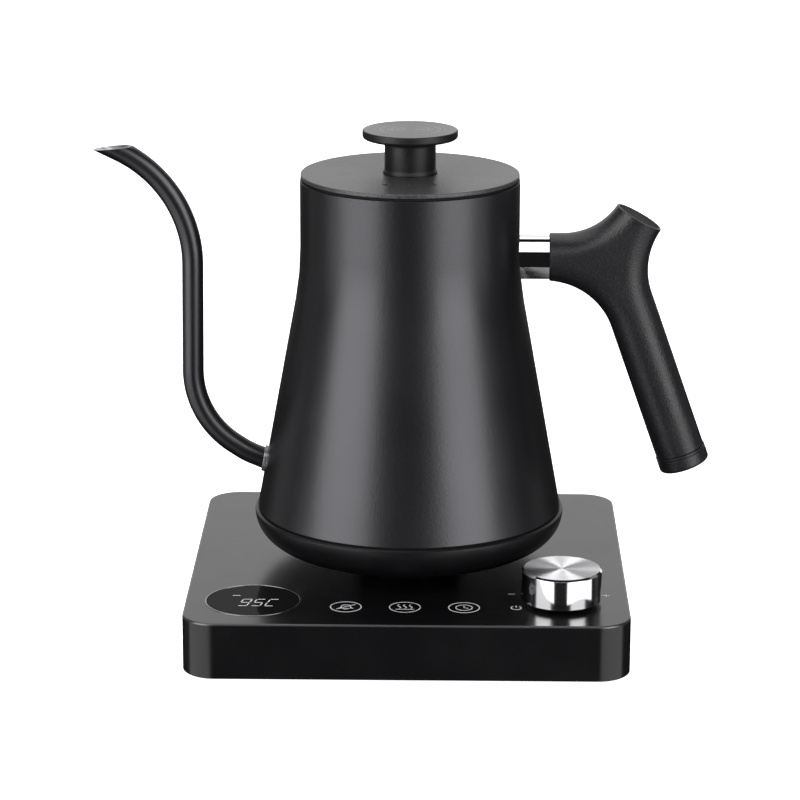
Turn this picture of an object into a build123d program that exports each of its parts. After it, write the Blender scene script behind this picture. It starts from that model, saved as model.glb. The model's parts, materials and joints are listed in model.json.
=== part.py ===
from build123d import *

import os
from math import cos, radians, sin

# Electric gooseneck kettle on a square heating base with a display, three touch keys and a dial.
# Millimetres, +Z up. The origin is on the table, on the axis of the kettle and its coupler.
# The front, with the display and the dial, faces -Y. The spout points to -X, the handle to +X.

# ---- driving dimensions: base ----
SIDE = 200.0  # the casing is square in plan
CORNER = 15.0  # plan radius of its corners
STAND = 1.5  # casing's height above the table, on its feet
PLATE_TOP = 27.4
WALL = 2.4
PANEL_Y = -71.0  # middle of the control strip, in front of the kettle
DISPLAY = (-69.4, -67.5)
DISPLAY_R = 21.7
DIAL = (69.6, -67.3)
DIAL_R = 18.05
DIAL_TOP = 43.75
KEYS = [(-27.3, -75.5), (-0.8, -75.5), (25.7, -75.5)]
INLET_X, INLET_Z, INLET_R = 45.0, 13.5, 3.6

# ---- driving dimensions: kettle ----
BODY_R = 50.3  # upper, cylindrical stretch
BODY_T = 1.0
BODY_TOP = 207.4
SEAM_Z = 53.3
SEAM_R = 70.5
BELLY_Z = 163.9  # height at which the cone would meet the cylinder
BLEND_R = 140.0
SKIRT_R = 71.9
SKIRT_BOTTOM = 35.0
FLOOR_Z = 60.0  # the water side of the vessel's floor
LID_TOP = 210.5
LID_R = 50.0
KNOB_R = 21.8
KNOB_TOP = 230.55
TUBE_R, TUBE_T = 4.9, 0.8
SPOUT_ROUTE = [(-60.5, 71.6), (-75.3, 77.6), (-100.5, 94.0), (-99.5, 203.8), (-145.5, 226.2)]
SPOUT_BENDS = (40.0, 42.0, 58.0)

# ---- driving dimensions: handle, all in the plane Y = 0 ----
JUNCTION = (93.8, 170.5)  # where the axes of neck, horn and grip meet
GRIP_TILT = 19.6  # degrees from plumb
HORN_TILT = 28.9
HORN_FLARE = 7.2  # degrees that the upper side of the horn opens out from its axis
GRIP_R = 11.4
NECK_X = 64.0
NECK_Z = 171.6  # middle of the neck and the bracket
NECK_R = 10.9
NECK_FALL = 8.0  # degrees that the underside of the neck falls towards the grip
HORN_LENGTH = 23.0
GRIP_LENGTH = 96.2
END_CAP = 7.5

# ---- fits ----
RUNNING = 0.05  # radial clearance of a shaft in its hole
CLEAR = 0.4  # air between pieces that move past each other

# ---- inside the base ----
PANEL_T = 2.1  # bottom panel
PANEL_TOP = STAND + PANEL_T
LIP_SIDE, LIP_T = 150.0, 1.4  # square rib that stiffens the bottom panel
BOSS_R, PILOT_R = 4.0, 1.5  # casing's screw bosses and the holes in them
WINDOW_SHIFT = (2.6, -3.0)  # from the middle of the display to the middle of its digits
LENS_T = 1.5
BUSH_R = 3.7  # threaded neck of the encoder
GROMMET_R, GROMMET_FLANGE_R = 6.2, 7.6
CLAMP_Y = 80.0
CLAMP_W = 7.0
SADDLE_TOP = 12.9
CLAMP_T = 5.4
CLAMP_GAP = 1.2  # between the saddle and the clamp bar, so that the bar can grip a cord
CLAMP_SCREW_R = 1.25
FOOT_R, FOOT_SEAT = 7.9, 1.0
COLLAR_R = 23.9  # coupler plug's collar, in the hole of the casing
BOARD_SCREW_R = 1.1
BOARD_Z = 13.4
BOARD_T = 1.6
POWER_Z = STAND + 6.1
POWER_TOP = POWER_Z + BOARD_T
POWER_SCREW_TIP = STAND + 1.1
SCREW_SPOTS = [(x, y) for x in (-86.0, 86.0) for y in (-86.0, 86.0)]
FOOT_SPOTS = [(x, y) for x in (-72.0, 72.0) for y in (-72.0, 72.0)]
POST_SPOTS = [(x, y) for x in (-42.0, 44.0) for y in (-86.0, -58.0)]
POWER_BOARD = (-38.0, 50.0)
POWER_SPOTS = [(POWER_BOARD[0] + x, POWER_BOARD[1] + y) for x in (-40.0, 40.0) for y in (-23.0, 23.0)]
CLAMP_SPOTS = [(INLET_X - 8.5, CLAMP_Y), (INLET_X + 8.5, CLAMP_Y)]


def save(piece, name):
    """Label a finished piece and write it as its own STEP file."""
    piece.part.label = name
    export_step(piece.part, f"parts/{name}.step")


def stack(*steps, centre=(0.0, 0.0)):
    """Coaxial discs and rings about a vertical axis, each given as (outer, inner, low, high)."""
    with BuildPart() as piece:
        for outer, inner, low, high in steps:
            with BuildSketch(Plane.XY.offset(low)):
                with Locations(centre):
                    Circle(outer)
                    if inner:
                        Circle(inner, mode=Mode.SUBTRACT)
            extrude(amount=high - low)
    return piece


def screws(spots, seat, head_r, head_h, shank_r, tip):
    """Pan-head screws driven upwards: each head hangs below seat and its shank ends at tip."""
    with BuildPart() as piece:
        for spot in spots:
            with BuildSketch(Plane.XY.offset(seat - head_h)):
                with Locations(spot):
                    Circle(head_r)
            extrude(amount=head_h)
            with BuildSketch(Plane.XY.offset(seat)):
                with Locations(spot):
                    Circle(shank_r)
            extrude(amount=tip - seat)
            with BuildSketch(Plane.XY.offset(seat - head_h)):
                with Locations(spot):
                    RectangleRounded(head_r * 1.3, head_r * 0.3, head_r * 0.1)
                    RectangleRounded(head_r * 0.3, head_r * 1.3, head_r * 0.1)
            extrude(amount=head_h * 0.5, mode=Mode.SUBTRACT)
    return piece


def crossing(point_a, angle_a, point_b, angle_b):
    """Where two lines in the plane Y = 0 cross; each has a point and an angle from +X in degrees."""
    dx_a, dz_a = cos(radians(angle_a)), sin(radians(angle_a))
    dx_b, dz_b = cos(radians(angle_b)), sin(radians(angle_b))
    across = dx_a * dz_b - dz_a * dx_b
    along = ((point_b[0] - point_a[0]) * dz_b - (point_b[1] - point_a[1]) * dx_b) / across
    return (point_a[0] + along * dx_a, point_a[1] + along * dz_a)


def from_junction(angle, along, side=0.0):
    """A point of the handle: along an axis at this angle from +X, then to its left by side."""
    dx, dz = cos(radians(angle)), sin(radians(angle))
    return (JUNCTION[0] + along * dx - side * dz, JUNCTION[1] + along * dz + side * dx)


os.makedirs("parts", exist_ok=True)

# ======================= base unit =======================

# Casing: one drawn shell, open below, with a fine round on its top edge.
with BuildPart() as base_cover:
    with BuildSketch(Plane.XY.offset(STAND)):
        RectangleRounded(SIDE, SIDE, CORNER)
    extrude(amount=PLATE_TOP - STAND)
    fillet(base_cover.faces().sort_by(Axis.Z)[-1].edges(), 1.0)
    with BuildSketch(Plane.XY.offset(STAND)):
        RectangleRounded(SIDE - 2 * WALL, SIDE - 2 * WALL, CORNER - WALL)
    extrude(amount=PLATE_TOP - STAND - WALL, mode=Mode.SUBTRACT)
    # Screw bosses in the corners and board posts under the control strip.
    with BuildSketch(Plane.XY.offset(PANEL_TOP)):
        with Locations(*SCREW_SPOTS):
            Circle(BOSS_R)
    extrude(amount=PLATE_TOP - WALL - PANEL_TOP)
    with BuildSketch(Plane.XY.offset(BOARD_Z + BOARD_T)):
        with Locations(*POST_SPOTS):
            Circle(3.0)
    extrude(amount=PLATE_TOP - WALL - BOARD_Z - BOARD_T)
    with BuildSketch(Plane.XY.offset(PANEL_TOP)):
        with Locations(*SCREW_SPOTS):
            Circle(PILOT_R)
    extrude(amount=12.0, mode=Mode.SUBTRACT)
    with BuildSketch(Plane.XY.offset(BOARD_Z + BOARD_T)):
        with Locations(*POST_SPOTS):
            Circle(1.1)
    extrude(amount=6.0, mode=Mode.SUBTRACT)
    # Display seat and the window below it, coupler hole, encoder hole.
    with BuildSketch(Plane.XY.offset(PLATE_TOP - LENS_T)):
        with Locations(DISPLAY):
            Circle(DISPLAY_R)
    extrude(amount=LENS_T, mode=Mode.SUBTRACT)
    with BuildSketch(Plane.XY.offset(PLATE_TOP - WALL)):
        with Locations((DISPLAY[0] + WINDOW_SHIFT[0], DISPLAY[1] + WINDOW_SHIFT[1])):
            Rectangle(25.0, 17.0)
        Circle(COLLAR_R + 0.1)
        with Locations(DIAL):
            Circle(BUSH_R)
    extrude(amount=WALL, mode=Mode.SUBTRACT)
    # Inlet hole in the rear wall.
    with BuildSketch(Plane.XZ.offset(-SIDE / 2)):
        with Locations((INLET_X, INLET_Z)):
            Circle(GROMMET_R)
    extrude(amount=WALL, mode=Mode.SUBTRACT)
save(base_cover, "base_cover")

# Bottom panel with a locating lip, ribs, foot seats, board bosses and the cord saddle.
with BuildPart() as base_bottom:
    with BuildSketch(Plane.XY.offset(STAND)):
        RectangleRounded(SIDE - 2 * WALL - 0.2, SIDE - 2 * WALL - 0.2, CORNER - WALL - 0.1)
    extrude(amount=PANEL_T)
    with BuildSketch(Plane.XY.offset(PANEL_TOP)):
        RectangleRounded(LIP_SIDE, LIP_SIDE, 8.0)
        RectangleRounded(LIP_SIDE - 2 * LIP_T, LIP_SIDE - 2 * LIP_T, 8.0 - LIP_T, mode=Mode.SUBTRACT)
        Rectangle(LIP_SIDE - 2 * LIP_T, LIP_T)
        Rectangle(LIP_T, LIP_SIDE - 2 * LIP_T)
        Circle(22.0)
        Circle(22.0 - LIP_T, mode=Mode.SUBTRACT)
    extrude(amount=3.0)
    with BuildSketch(Plane.XY.offset(PANEL_TOP)):
        with Locations(*POWER_SPOTS):
            Circle(3.2)
    extrude(amount=POWER_Z - PANEL_TOP)
    with BuildSketch(Plane.XY.offset(PANEL_TOP)):
        with Locations((INLET_X, CLAMP_Y)):
            Rectangle(26.0, CLAMP_W)
    extrude(amount=SADDLE_TOP - PANEL_TOP)
    with BuildSketch(Plane.XZ.offset(-CLAMP_Y - CLAMP_W / 2)):
        with Locations((INLET_X, INLET_Z)):
            Circle(INLET_R)
    extrude(amount=CLAMP_W, mode=Mode.SUBTRACT)
    with BuildSketch(Plane.XY.offset(STAND)):
        with Locations(*FOOT_SPOTS):
            Circle(FOOT_R + 0.1)
    extrude(amount=FOOT_SEAT, mode=Mode.SUBTRACT)
    with BuildSketch(Plane.XY.offset(STAND)):
        with Locations(*SCREW_SPOTS):
            Circle(1.7)
    extrude(amount=PANEL_T, mode=Mode.SUBTRACT)
    with BuildSketch(Plane.XY.offset(STAND)):
        with Locations(*SCREW_SPOTS):
            Circle(3.2)
    extrude(amount=1.2, mode=Mode.SUBTRACT)
    with BuildSketch(Plane.XY.offset(POWER_SCREW_TIP)):
        with Locations(*POWER_SPOTS):
            Circle(BOARD_SCREW_R)
    extrude(amount=POWER_Z - POWER_SCREW_TIP, mode=Mode.SUBTRACT)
    with BuildSketch(Plane.XY.offset(PANEL_TOP)):
        with Locations(*CLAMP_SPOTS):
            Circle(CLAMP_SCREW_R)
    extrude(amount=SADDLE_TOP - PANEL_TOP, mode=Mode.SUBTRACT)
save(base_bottom, "base_bottom")

# Feet: rubber discs glued into the four seats.
with BuildPart() as feet:
    with BuildSketch(Plane.XY):
        with Locations(*FOOT_SPOTS):
            Circle(FOOT_R)
    extrude(amount=STAND + FOOT_SEAT)
    fillet(feet.faces().filter_by(Plane.XY).group_by(Axis.Z)[0].edges(), 0.6)
save(feet, "feet")

save(screws(SCREW_SPOTS, STAND + 1.2, 3.1, 1.1, 1.5, 14.0), "casing_screws")

# Coupler plug: the raised connector that the kettle sits on and swivels about.
with BuildPart() as coupler_plug:
    with BuildSketch(Plane.XZ):
        with BuildLine():
            Polyline(
                (0, 20.0), (27.0, 20.0), (27.0, 25.0), (COLLAR_R, 25.0), (COLLAR_R, 31.6),
                (COLLAR_R - 1.0, 32.6),
                (15.4, 32.6), (15.4, 42.2), (14.2, 43.4), (0, 43.4), (0, 20.0),
            )
        make_face()
    revolve(axis=Axis.Z)
    with BuildSketch(Plane.XY.offset(23.0)):
        Circle(2.7)
    extrude(amount=21.0, mode=Mode.SUBTRACT)
    with BuildSketch(Plane.XY.offset(28.0)):
        Circle(10.2)
        Circle(7.8, mode=Mode.SUBTRACT)
    extrude(amount=16.0, mode=Mode.SUBTRACT)
save(coupler_plug, "coupler_plug")
save(stack((2.7, 0, 23.0, 26.0), (10.2, 7.8, 28.0, 30.0)), "plug_contacts")

# Display: a flush round lens in a fine metal ring, the digit block below it.
LENS_R = DISPLAY_R - 0.7
LENS_LOW = PLATE_TOP - LENS_T
save(stack((DISPLAY_R, LENS_R, LENS_LOW, PLATE_TOP + 0.15), centre=DISPLAY), "display_bezel")
save(stack((LENS_R, 0, LENS_LOW, PLATE_TOP), centre=DISPLAY), "display_lens")
with BuildPart() as digit_block:
    with BuildSketch(Plane.XY.offset(BOARD_Z + BOARD_T)):
        with Locations((DISPLAY[0] + WINDOW_SHIFT[0], DISPLAY[1] + WINDOW_SHIFT[1])):
            Rectangle(24.0, 16.0)
    extrude(amount=LENS_LOW - 0.2 - BOARD_Z - BOARD_T)
save(digit_block, "digit_block")

# Touch springs: one wound contact under each key, drawn as its outer sleeve.
with BuildPart() as touch_springs:
    with BuildSketch(Plane.XY.offset(BOARD_Z + BOARD_T)):
        with Locations(*KEYS):
            Circle(4.5)
            Circle(3.5, mode=Mode.SUBTRACT)
    extrude(amount=PLATE_TOP - WALL - BOARD_Z - BOARD_T)
save(touch_springs, "touch_springs")

# Control board along the front, with the display, the keys and the encoder on it.
with BuildPart() as control_board:
    with BuildSketch(Plane.XY.offset(BOARD_Z)):
        with Locations((0, PANEL_Y)):
            RectangleRounded(161.0, 38.0, 2.0)
        with Locations(*POST_SPOTS):
            Circle(1.3, mode=Mode.SUBTRACT)
    extrude(amount=BOARD_T)
save(control_board, "control_board")
save(screws(POST_SPOTS, BOARD_Z, 2.4, 1.3, 1.1, 20.0), "control_board_screws")

# Encoder: a housing with a threaded bush through the plate, and its nut.
ENCODER_Z = BOARD_Z + BOARD_T
SHAFT_R = 2.5
with BuildPart() as encoder_body:
    with BuildSketch(Plane.XY.offset(ENCODER_Z)):
        with Locations(DIAL):
            RectangleRounded(13.0, 13.0, 1.0)
    extrude(amount=PLATE_TOP - WALL - ENCODER_Z)
    with BuildSketch(Plane.XY.offset(PLATE_TOP - WALL)):
        with Locations(DIAL):
            Circle(BUSH_R)
    extrude(amount=WALL + 3.4)
    with BuildSketch(Plane.XY.offset(ENCODER_Z + 1.0)):
        with Locations(DIAL):
            Circle(4.4)
    extrude(amount=5.0, mode=Mode.SUBTRACT)
    with BuildSketch(Plane.XY.offset(ENCODER_Z + 1.0)):
        with Locations(DIAL):
            Circle(SHAFT_R + RUNNING)
    extrude(amount=20.0, mode=Mode.SUBTRACT)
save(encoder_body, "encoder_body")
with BuildPart() as encoder_nut:
    with BuildSketch(Plane.XY.offset(PLATE_TOP)):
        with Locations(DIAL):
            RegularPolygon(5.8, 6)
            Circle(BUSH_R, mode=Mode.SUBTRACT)
    extrude(amount=1.8)
save(encoder_nut, "encoder_nut")

# Switch plunger: the pad under the shaft that closes the press switch.
PLUNGER_Z = ENCODER_Z + 2.2
save(stack((4.0, 0, PLUNGER_Z, PLUNGER_Z + 2.0), centre=DIAL), "switch_plunger")

# Dial: turned aluminium cap on a black insert that grips the shaft.
SHAFT_TOP = DIAL_TOP - 3.6
DIAL_LOW = 29.4
INSERT_R = 16.4
INSERT_TOP = DIAL_TOP - 2.4
HUB_TOP = 38.4
with BuildPart() as dial_cap:
    with BuildSketch(Plane.XY.offset(DIAL_LOW)):
        with Locations(DIAL):
            Circle(DIAL_R)
    extrude(amount=DIAL_TOP - DIAL_LOW)
    chamfer(dial_cap.faces().sort_by(Axis.Z)[-1].edges(), 0.9)
    with BuildSketch(Plane.XY.offset(DIAL_LOW)):
        with Locations(DIAL):
            Circle(INSERT_R)
    extrude(amount=INSERT_TOP - DIAL_LOW, mode=Mode.SUBTRACT)
save(dial_cap, "dial_cap")
save(
    stack(
        (INSERT_R, INSERT_R - 1.8, DIAL_LOW - 0.7, HUB_TOP),
        (INSERT_R, SHAFT_R, HUB_TOP, SHAFT_TOP),
        (5.6, SHAFT_R, 32.4, HUB_TOP),
        (INSERT_R, 0, SHAFT_TOP, INSERT_TOP),
        centre=DIAL,
    ),
    "dial_insert",
)
save(stack((SHAFT_R, 0, PLUNGER_Z + 2.0, SHAFT_TOP), centre=DIAL), "encoder_shaft")

# Power board at the back left, with what drives the heater and warns by sound.
with BuildPart() as power_board:
    with BuildSketch(Plane.XY.offset(POWER_Z)):
        with Locations(POWER_BOARD):
            RectangleRounded(90.0, 56.0, 2.0)
        with Locations(*POWER_SPOTS):
            Circle(1.3, mode=Mode.SUBTRACT)
    extrude(amount=BOARD_T)
save(power_board, "power_board")
with BuildPart() as power_board_screws:
    with BuildSketch(Plane.XY.offset(POWER_TOP)):
        with Locations(*POWER_SPOTS):
            Circle(2.4)
    extrude(amount=1.5)
    with BuildSketch(Plane.XY.offset(POWER_SCREW_TIP)):
        with Locations(*POWER_SPOTS):
            Circle(BOARD_SCREW_R)
    extrude(amount=POWER_TOP - POWER_SCREW_TIP)
save(power_board_screws, "power_board_screws")
with BuildPart() as power_relay:
    with BuildSketch(Plane.XY.offset(POWER_TOP)):
        with Locations((POWER_BOARD[0] + 22.0, POWER_BOARD[1] + 4.0)):
            RectangleRounded(20.0, 16.0, 0.8)
    extrude(amount=14.5)
save(power_relay, "power_relay")
with BuildPart() as transformer:
    with BuildSketch(Plane.XY.offset(POWER_TOP)):
        with Locations((POWER_BOARD[0] - 14.0, POWER_BOARD[1] + 6.0)):
            RectangleRounded(26.0, 22.0, 1.0)
    extrude(amount=14.0)
save(transformer, "transformer")
CAPACITOR = (POWER_BOARD[0] - 34.0, POWER_BOARD[1] + 4.0)
BUZZER = (POWER_BOARD[0] + 2.0, POWER_BOARD[1] - 17.0)
save(stack((5.0, 0, POWER_TOP, POWER_TOP + 13.0), centre=CAPACITOR), "capacitor")
save(stack((6.0, 1.0, POWER_TOP, POWER_TOP + 8.0), centre=BUZZER), "buzzer")

# Cord inlet: a grommet in the rear wall and the clamp bar behind it. The cord itself is left out.
with BuildPart() as inlet_grommet:
    with BuildSketch(Plane.XZ.offset(-SIDE / 2 - 1.0)):
        with Locations((INLET_X, INLET_Z)):
            Circle(GROMMET_FLANGE_R)
    extrude(amount=1.0)
    fillet(inlet_grommet.faces().sort_by(Axis.Y)[-1].edges(), 0.6)
    with BuildSketch(Plane.XZ.offset(-SIDE / 2)):
        with Locations((INLET_X, INLET_Z)):
            Circle(GROMMET_R)
    extrude(amount=WALL)
    with BuildSketch(Plane.XZ.offset(-SIDE / 2 + WALL)):
        with Locations((INLET_X, INLET_Z)):
            Circle(GROMMET_FLANGE_R)
    extrude(amount=3.0)
    with BuildSketch(Plane.XZ.offset(-SIDE / 2 - 1.0)):
        with Locations((INLET_X, INLET_Z)):
            Circle(INLET_R)
    extrude(amount=WALL + 4.0, mode=Mode.SUBTRACT)
save(inlet_grommet, "inlet_grommet")
CLAMP_LOW = SADDLE_TOP + CLAMP_GAP
with BuildPart() as cord_clamp:
    with BuildSketch(Plane.XY.offset(CLAMP_LOW)):
        with Locations((INLET_X, CLAMP_Y)):
            RectangleRounded(25.0, CLAMP_W, 1.5)
    extrude(amount=CLAMP_T)
    with BuildSketch(Plane.XZ.offset(-CLAMP_Y - CLAMP_W / 2)):
        with Locations((INLET_X, INLET_Z)):
            Circle(INLET_R)
    extrude(amount=CLAMP_W, mode=Mode.SUBTRACT)
    with BuildSketch(Plane.XY.offset(CLAMP_LOW)):
        with Locations(*CLAMP_SPOTS):
            Circle(1.6)
    extrude(amount=CLAMP_T, mode=Mode.SUBTRACT)
save(cord_clamp, "cord_clamp")
with BuildPart() as clamp_screws:
    with BuildSketch(Plane.XY.offset(CLAMP_LOW + CLAMP_T)):
        with Locations(*CLAMP_SPOTS):
            Circle(2.8)
    extrude(amount=2.0)
    with BuildSketch(Plane.XY.offset(PANEL_TOP + 0.9)):
        with Locations(*CLAMP_SPOTS):
            Circle(CLAMP_SCREW_R)
    extrude(amount=CLAMP_LOW + CLAMP_T - PANEL_TOP - 0.9)
save(clamp_screws, "clamp_screws")

# ======================= kettle =======================

CONE_SLOPE = (SEAM_R - BODY_R) / (BELLY_Z - SEAM_Z)  # radius gained per mm of drop
CONE_SHIFT = (1 + CONE_SLOPE**2) ** 0.5  # horizontal width of the cone's wall, per mm of thickness
BELLY_SHIFT = (CONE_SHIFT - 1) / CONE_SLOPE  # how far the inner corner drops, per mm of thickness


def body_block(grow):
    """A solid as large as the outside of the body, and larger by grow all round its side."""
    with BuildPart() as block:
        with BuildSketch(Plane.XZ):
            with BuildLine():
                outline = FilletPolyline(
                    (SEAM_R + grow * CONE_SHIFT, SEAM_Z),
                    (BODY_R + grow, BELLY_Z + grow * BELLY_SHIFT),
                    (BODY_R + grow, BODY_TOP),
                    radius=BLEND_R - grow,
                )
                Polyline(outline @ 1, (0, BODY_TOP), (0, SEAM_Z), outline @ 0)
            make_face()
        revolve(axis=Axis.Z)
    return block


# The outside of the body trims what is welded on to it.
body_volume = body_block(0.0)

# The bore of the spout, from inside the vessel to past the tip.
with BuildPart() as spout_bore:
    with BuildLine(Plane.XZ):
        bore_path = FilletPolyline(*SPOUT_ROUTE, radius=SPOUT_BENDS)
    with BuildSketch(Plane(origin=bore_path @ 0, z_dir=bore_path % 0)):
        Circle(TUBE_R - TUBE_T)
    sweep()

# Body: thin stainless shell, cone below and cylinder above, with a soft blend between.
with BuildPart() as kettle_body:
    with BuildSketch(Plane.XZ):
        with BuildLine():
            outer = FilletPolyline(
                (SEAM_R, SEAM_Z), (BODY_R, BELLY_Z), (BODY_R, BODY_TOP), radius=BLEND_R
            )
            inner = FilletPolyline(
                (SEAM_R - BODY_T * CONE_SHIFT, SEAM_Z),
                (BODY_R - BODY_T, BELLY_Z - BODY_T * BELLY_SHIFT),
                (BODY_R - BODY_T, BODY_TOP),
                radius=BLEND_R + BODY_T,
            )
            Line(outer @ 0, inner @ 0)
            Line(outer @ 1, inner @ 1)
        make_face()
    revolve(axis=Axis.Z)
    add(spout_bore.part, mode=Mode.SUBTRACT)
save(kettle_body, "kettle_body")

# Vessel floor: a stainless disc welded in just above the seam.
FLOOR_R = SEAM_R - BODY_T * CONE_SHIFT - (FLOOR_Z - SEAM_Z) * CONE_SLOPE - 0.05
FLOOR_T = 1.0
PROBE = (20.0, 14.0)
PROBE_R, BUSH_NECK_R, BUSH_FLANGE_R = 2.4, 3.6, 5.4
with BuildPart() as vessel_floor:
    with BuildSketch(Plane.XY.offset(FLOOR_Z - FLOOR_T)):
        Circle(FLOOR_R)
        with Locations(PROBE):
            Circle(BUSH_NECK_R, mode=Mode.SUBTRACT)
    extrude(amount=FLOOR_T)
save(vessel_floor, "vessel_floor")

# Heater: an aluminium plate under the floor with a tubular element brazed to it.
HEAT_TOP = FLOOR_Z - FLOOR_T
PLATE_T = 3.5
with BuildPart() as heat_plate:
    with BuildSketch(Plane.XY.offset(HEAT_TOP - PLATE_T)):
        Circle(42.0)
        with Locations(PROBE):
            Circle(BUSH_FLANGE_R + 0.8, mode=Mode.SUBTRACT)
    extrude(amount=PLATE_T)
save(heat_plate, "heat_plate")
ELEMENT_R, ELEMENT_TUBE = 35.0, 3.2
ELEMENT_Z = HEAT_TOP - PLATE_T - ELEMENT_TUBE
ELEMENT_ENDS = 24.0  # degrees of gap between its two cold ends, at the back
with BuildPart() as heating_element:
    with BuildLine(Plane.XY.offset(ELEMENT_Z)):
        element_path = CenterArc((0, 0), ELEMENT_R, 90 + ELEMENT_ENDS / 2, 360 - ELEMENT_ENDS)
    with BuildSketch(Plane(origin=element_path @ 0, z_dir=element_path % 0)):
        Circle(ELEMENT_TUBE)
    sweep()
    for half in (-1, 1):
        turn = radians(90 + half * (ELEMENT_ENDS / 2 + 4))
        with BuildSketch(Plane.XY.offset(ELEMENT_Z - 11.0)):
            with Locations((ELEMENT_R * cos(turn), ELEMENT_R * sin(turn))):
                Circle(1.6)
        extrude(amount=11.0)
save(heating_element, "heating_element")

# Dry-boil cut-out, pressed against the middle of the heat plate.
save(stack((9.0, 0, HEAT_TOP - PLATE_T - 5.0, HEAT_TOP - PLATE_T)), "thermostat")

# Temperature probe through the floor in its silicone bush.
save(
    stack(
        (PROBE_R, 0, FLOOR_Z - 9.0, FLOOR_Z + 9.0),
        (4.0, 0, FLOOR_Z - 10.4, FLOOR_Z - 9.0),
        centre=PROBE,
    ),
    "probe",
)
save(
    stack(
        (BUSH_NECK_R, PROBE_R, HEAT_TOP, FLOOR_Z),
        (BUSH_FLANGE_R, PROBE_R, FLOOR_Z, FLOOR_Z + 1.6),
        (BUSH_FLANGE_R, PROBE_R, HEAT_TOP - 3.0, HEAT_TOP),
        centre=PROBE,
    ),
    "probe_bush",
)

# Studs welded under the floor; the skirt is screwed to them.
STUD_SPOTS = [(57.0 * cos(radians(a)), 57.0 * sin(radians(a))) for a in (90, 210, 330)]
STUD_HOLE_R = 1.5
SKIRT_WALL = 2.4
RECESS = 2.4  # depth of the seats for the skirt's screws
STUD_BOTTOM = SKIRT_BOTTOM + SKIRT_WALL + 4.0
with BuildPart() as skirt_studs:
    with BuildSketch(Plane.XY.offset(STUD_BOTTOM)):
        with Locations(*STUD_SPOTS):
            Circle(3.0)
            Circle(STUD_HOLE_R, mode=Mode.SUBTRACT)
    extrude(amount=HEAT_TOP - STUD_BOTTOM)
save(skirt_studs, "skirt_studs")

# Skirt: the black moulding under the body, a shallow bowl with a hole for the coupler.
SKIRT_TOP = SEAM_Z - 0.7
LIP_Z = SKIRT_TOP - 1.1
LIP_IN = SEAM_R - 2.2  # inner radius of the skirt's lip and of the gasket
BOWL_R = 53.0  # where the round of the bowl runs into its flat bottom
SOCKET_R = 27.0
with BuildPart() as skirt:
    with BuildSketch(Plane.XZ):
        with BuildLine():
            EllipticalCenterArc(
                (BOWL_R, LIP_Z), SKIRT_R - BOWL_R, LIP_Z - SKIRT_BOTTOM, start_angle=270, arc_size=90
            )
            Polyline(
                (SKIRT_R, LIP_Z), (SEAM_R + 0.2, SKIRT_TOP), (LIP_IN, SKIRT_TOP), (LIP_IN, LIP_Z)
            )
            EllipticalCenterArc(
                (BOWL_R, LIP_Z),
                LIP_IN - BOWL_R,
                LIP_Z - SKIRT_BOTTOM - SKIRT_WALL,
                start_angle=270,
                arc_size=90,
            )
            Polyline(
                (BOWL_R, SKIRT_BOTTOM + SKIRT_WALL), (SOCKET_R + CLEAR, SKIRT_BOTTOM + SKIRT_WALL),
                (SOCKET_R + CLEAR, SKIRT_BOTTOM), (BOWL_R, SKIRT_BOTTOM),
            )
        make_face()
    revolve(axis=Axis.Z)
    with BuildSketch(Plane.XY.offset(SKIRT_BOTTOM)):
        with Locations(*STUD_SPOTS):
            Circle(5.4)
    extrude(amount=STUD_BOTTOM - SKIRT_BOTTOM)
    with BuildSketch(Plane.XY.offset(SKIRT_BOTTOM)):
        with Locations(*STUD_SPOTS):
            Circle(3.2)
    extrude(amount=RECESS, mode=Mode.SUBTRACT)
    with BuildSketch(Plane.XY.offset(SKIRT_BOTTOM)):
        with Locations(*STUD_SPOTS):
            Circle(1.7)
    extrude(amount=STUD_BOTTOM - SKIRT_BOTTOM, mode=Mode.SUBTRACT)
save(skirt, "skirt")
save(
    screws(STUD_SPOTS, SKIRT_BOTTOM + RECESS, 3.0, 1.8, STUD_HOLE_R, STUD_BOTTOM + 8.0),
    "skirt_screws",
)

# Seam gasket: the black line between the body and the skirt.
save(stack((SEAM_R - 0.5, LIP_IN, SKIRT_TOP, SEAM_Z)), "seam_gasket")

# Coupler socket on the kettle, with its centre pin and its ring blade.
SOCKET_LOW = 33.4
SOCKET_FLANGE = 40.4
CAVITY_R, CAVITY_TOP = 16.0, 44.0
SOCKET_NECK_R, SOCKET_TOP = 20.0, 48.6
with BuildPart() as coupler_socket:
    with BuildSketch(Plane.XZ):
        with BuildLine():
            Polyline(
                (0, CAVITY_TOP), (CAVITY_R, CAVITY_TOP), (CAVITY_R, 35.2), (18.0, SOCKET_LOW),
                (SOCKET_R - 1.0, SOCKET_LOW), (SOCKET_R, SOCKET_LOW + 1.0), (SOCKET_R, SOCKET_FLANGE),
                (SOCKET_NECK_R, SOCKET_FLANGE), (SOCKET_NECK_R, SOCKET_TOP), (0, SOCKET_TOP),
                (0, CAVITY_TOP),
            )
        make_face()
    revolve(axis=Axis.Z)
save(coupler_socket, "coupler_socket")
save(stack((2.2, 0, 30.0, CAVITY_TOP), (9.6, 8.4, SOCKET_LOW, CAVITY_TOP)), "socket_pins")

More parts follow.
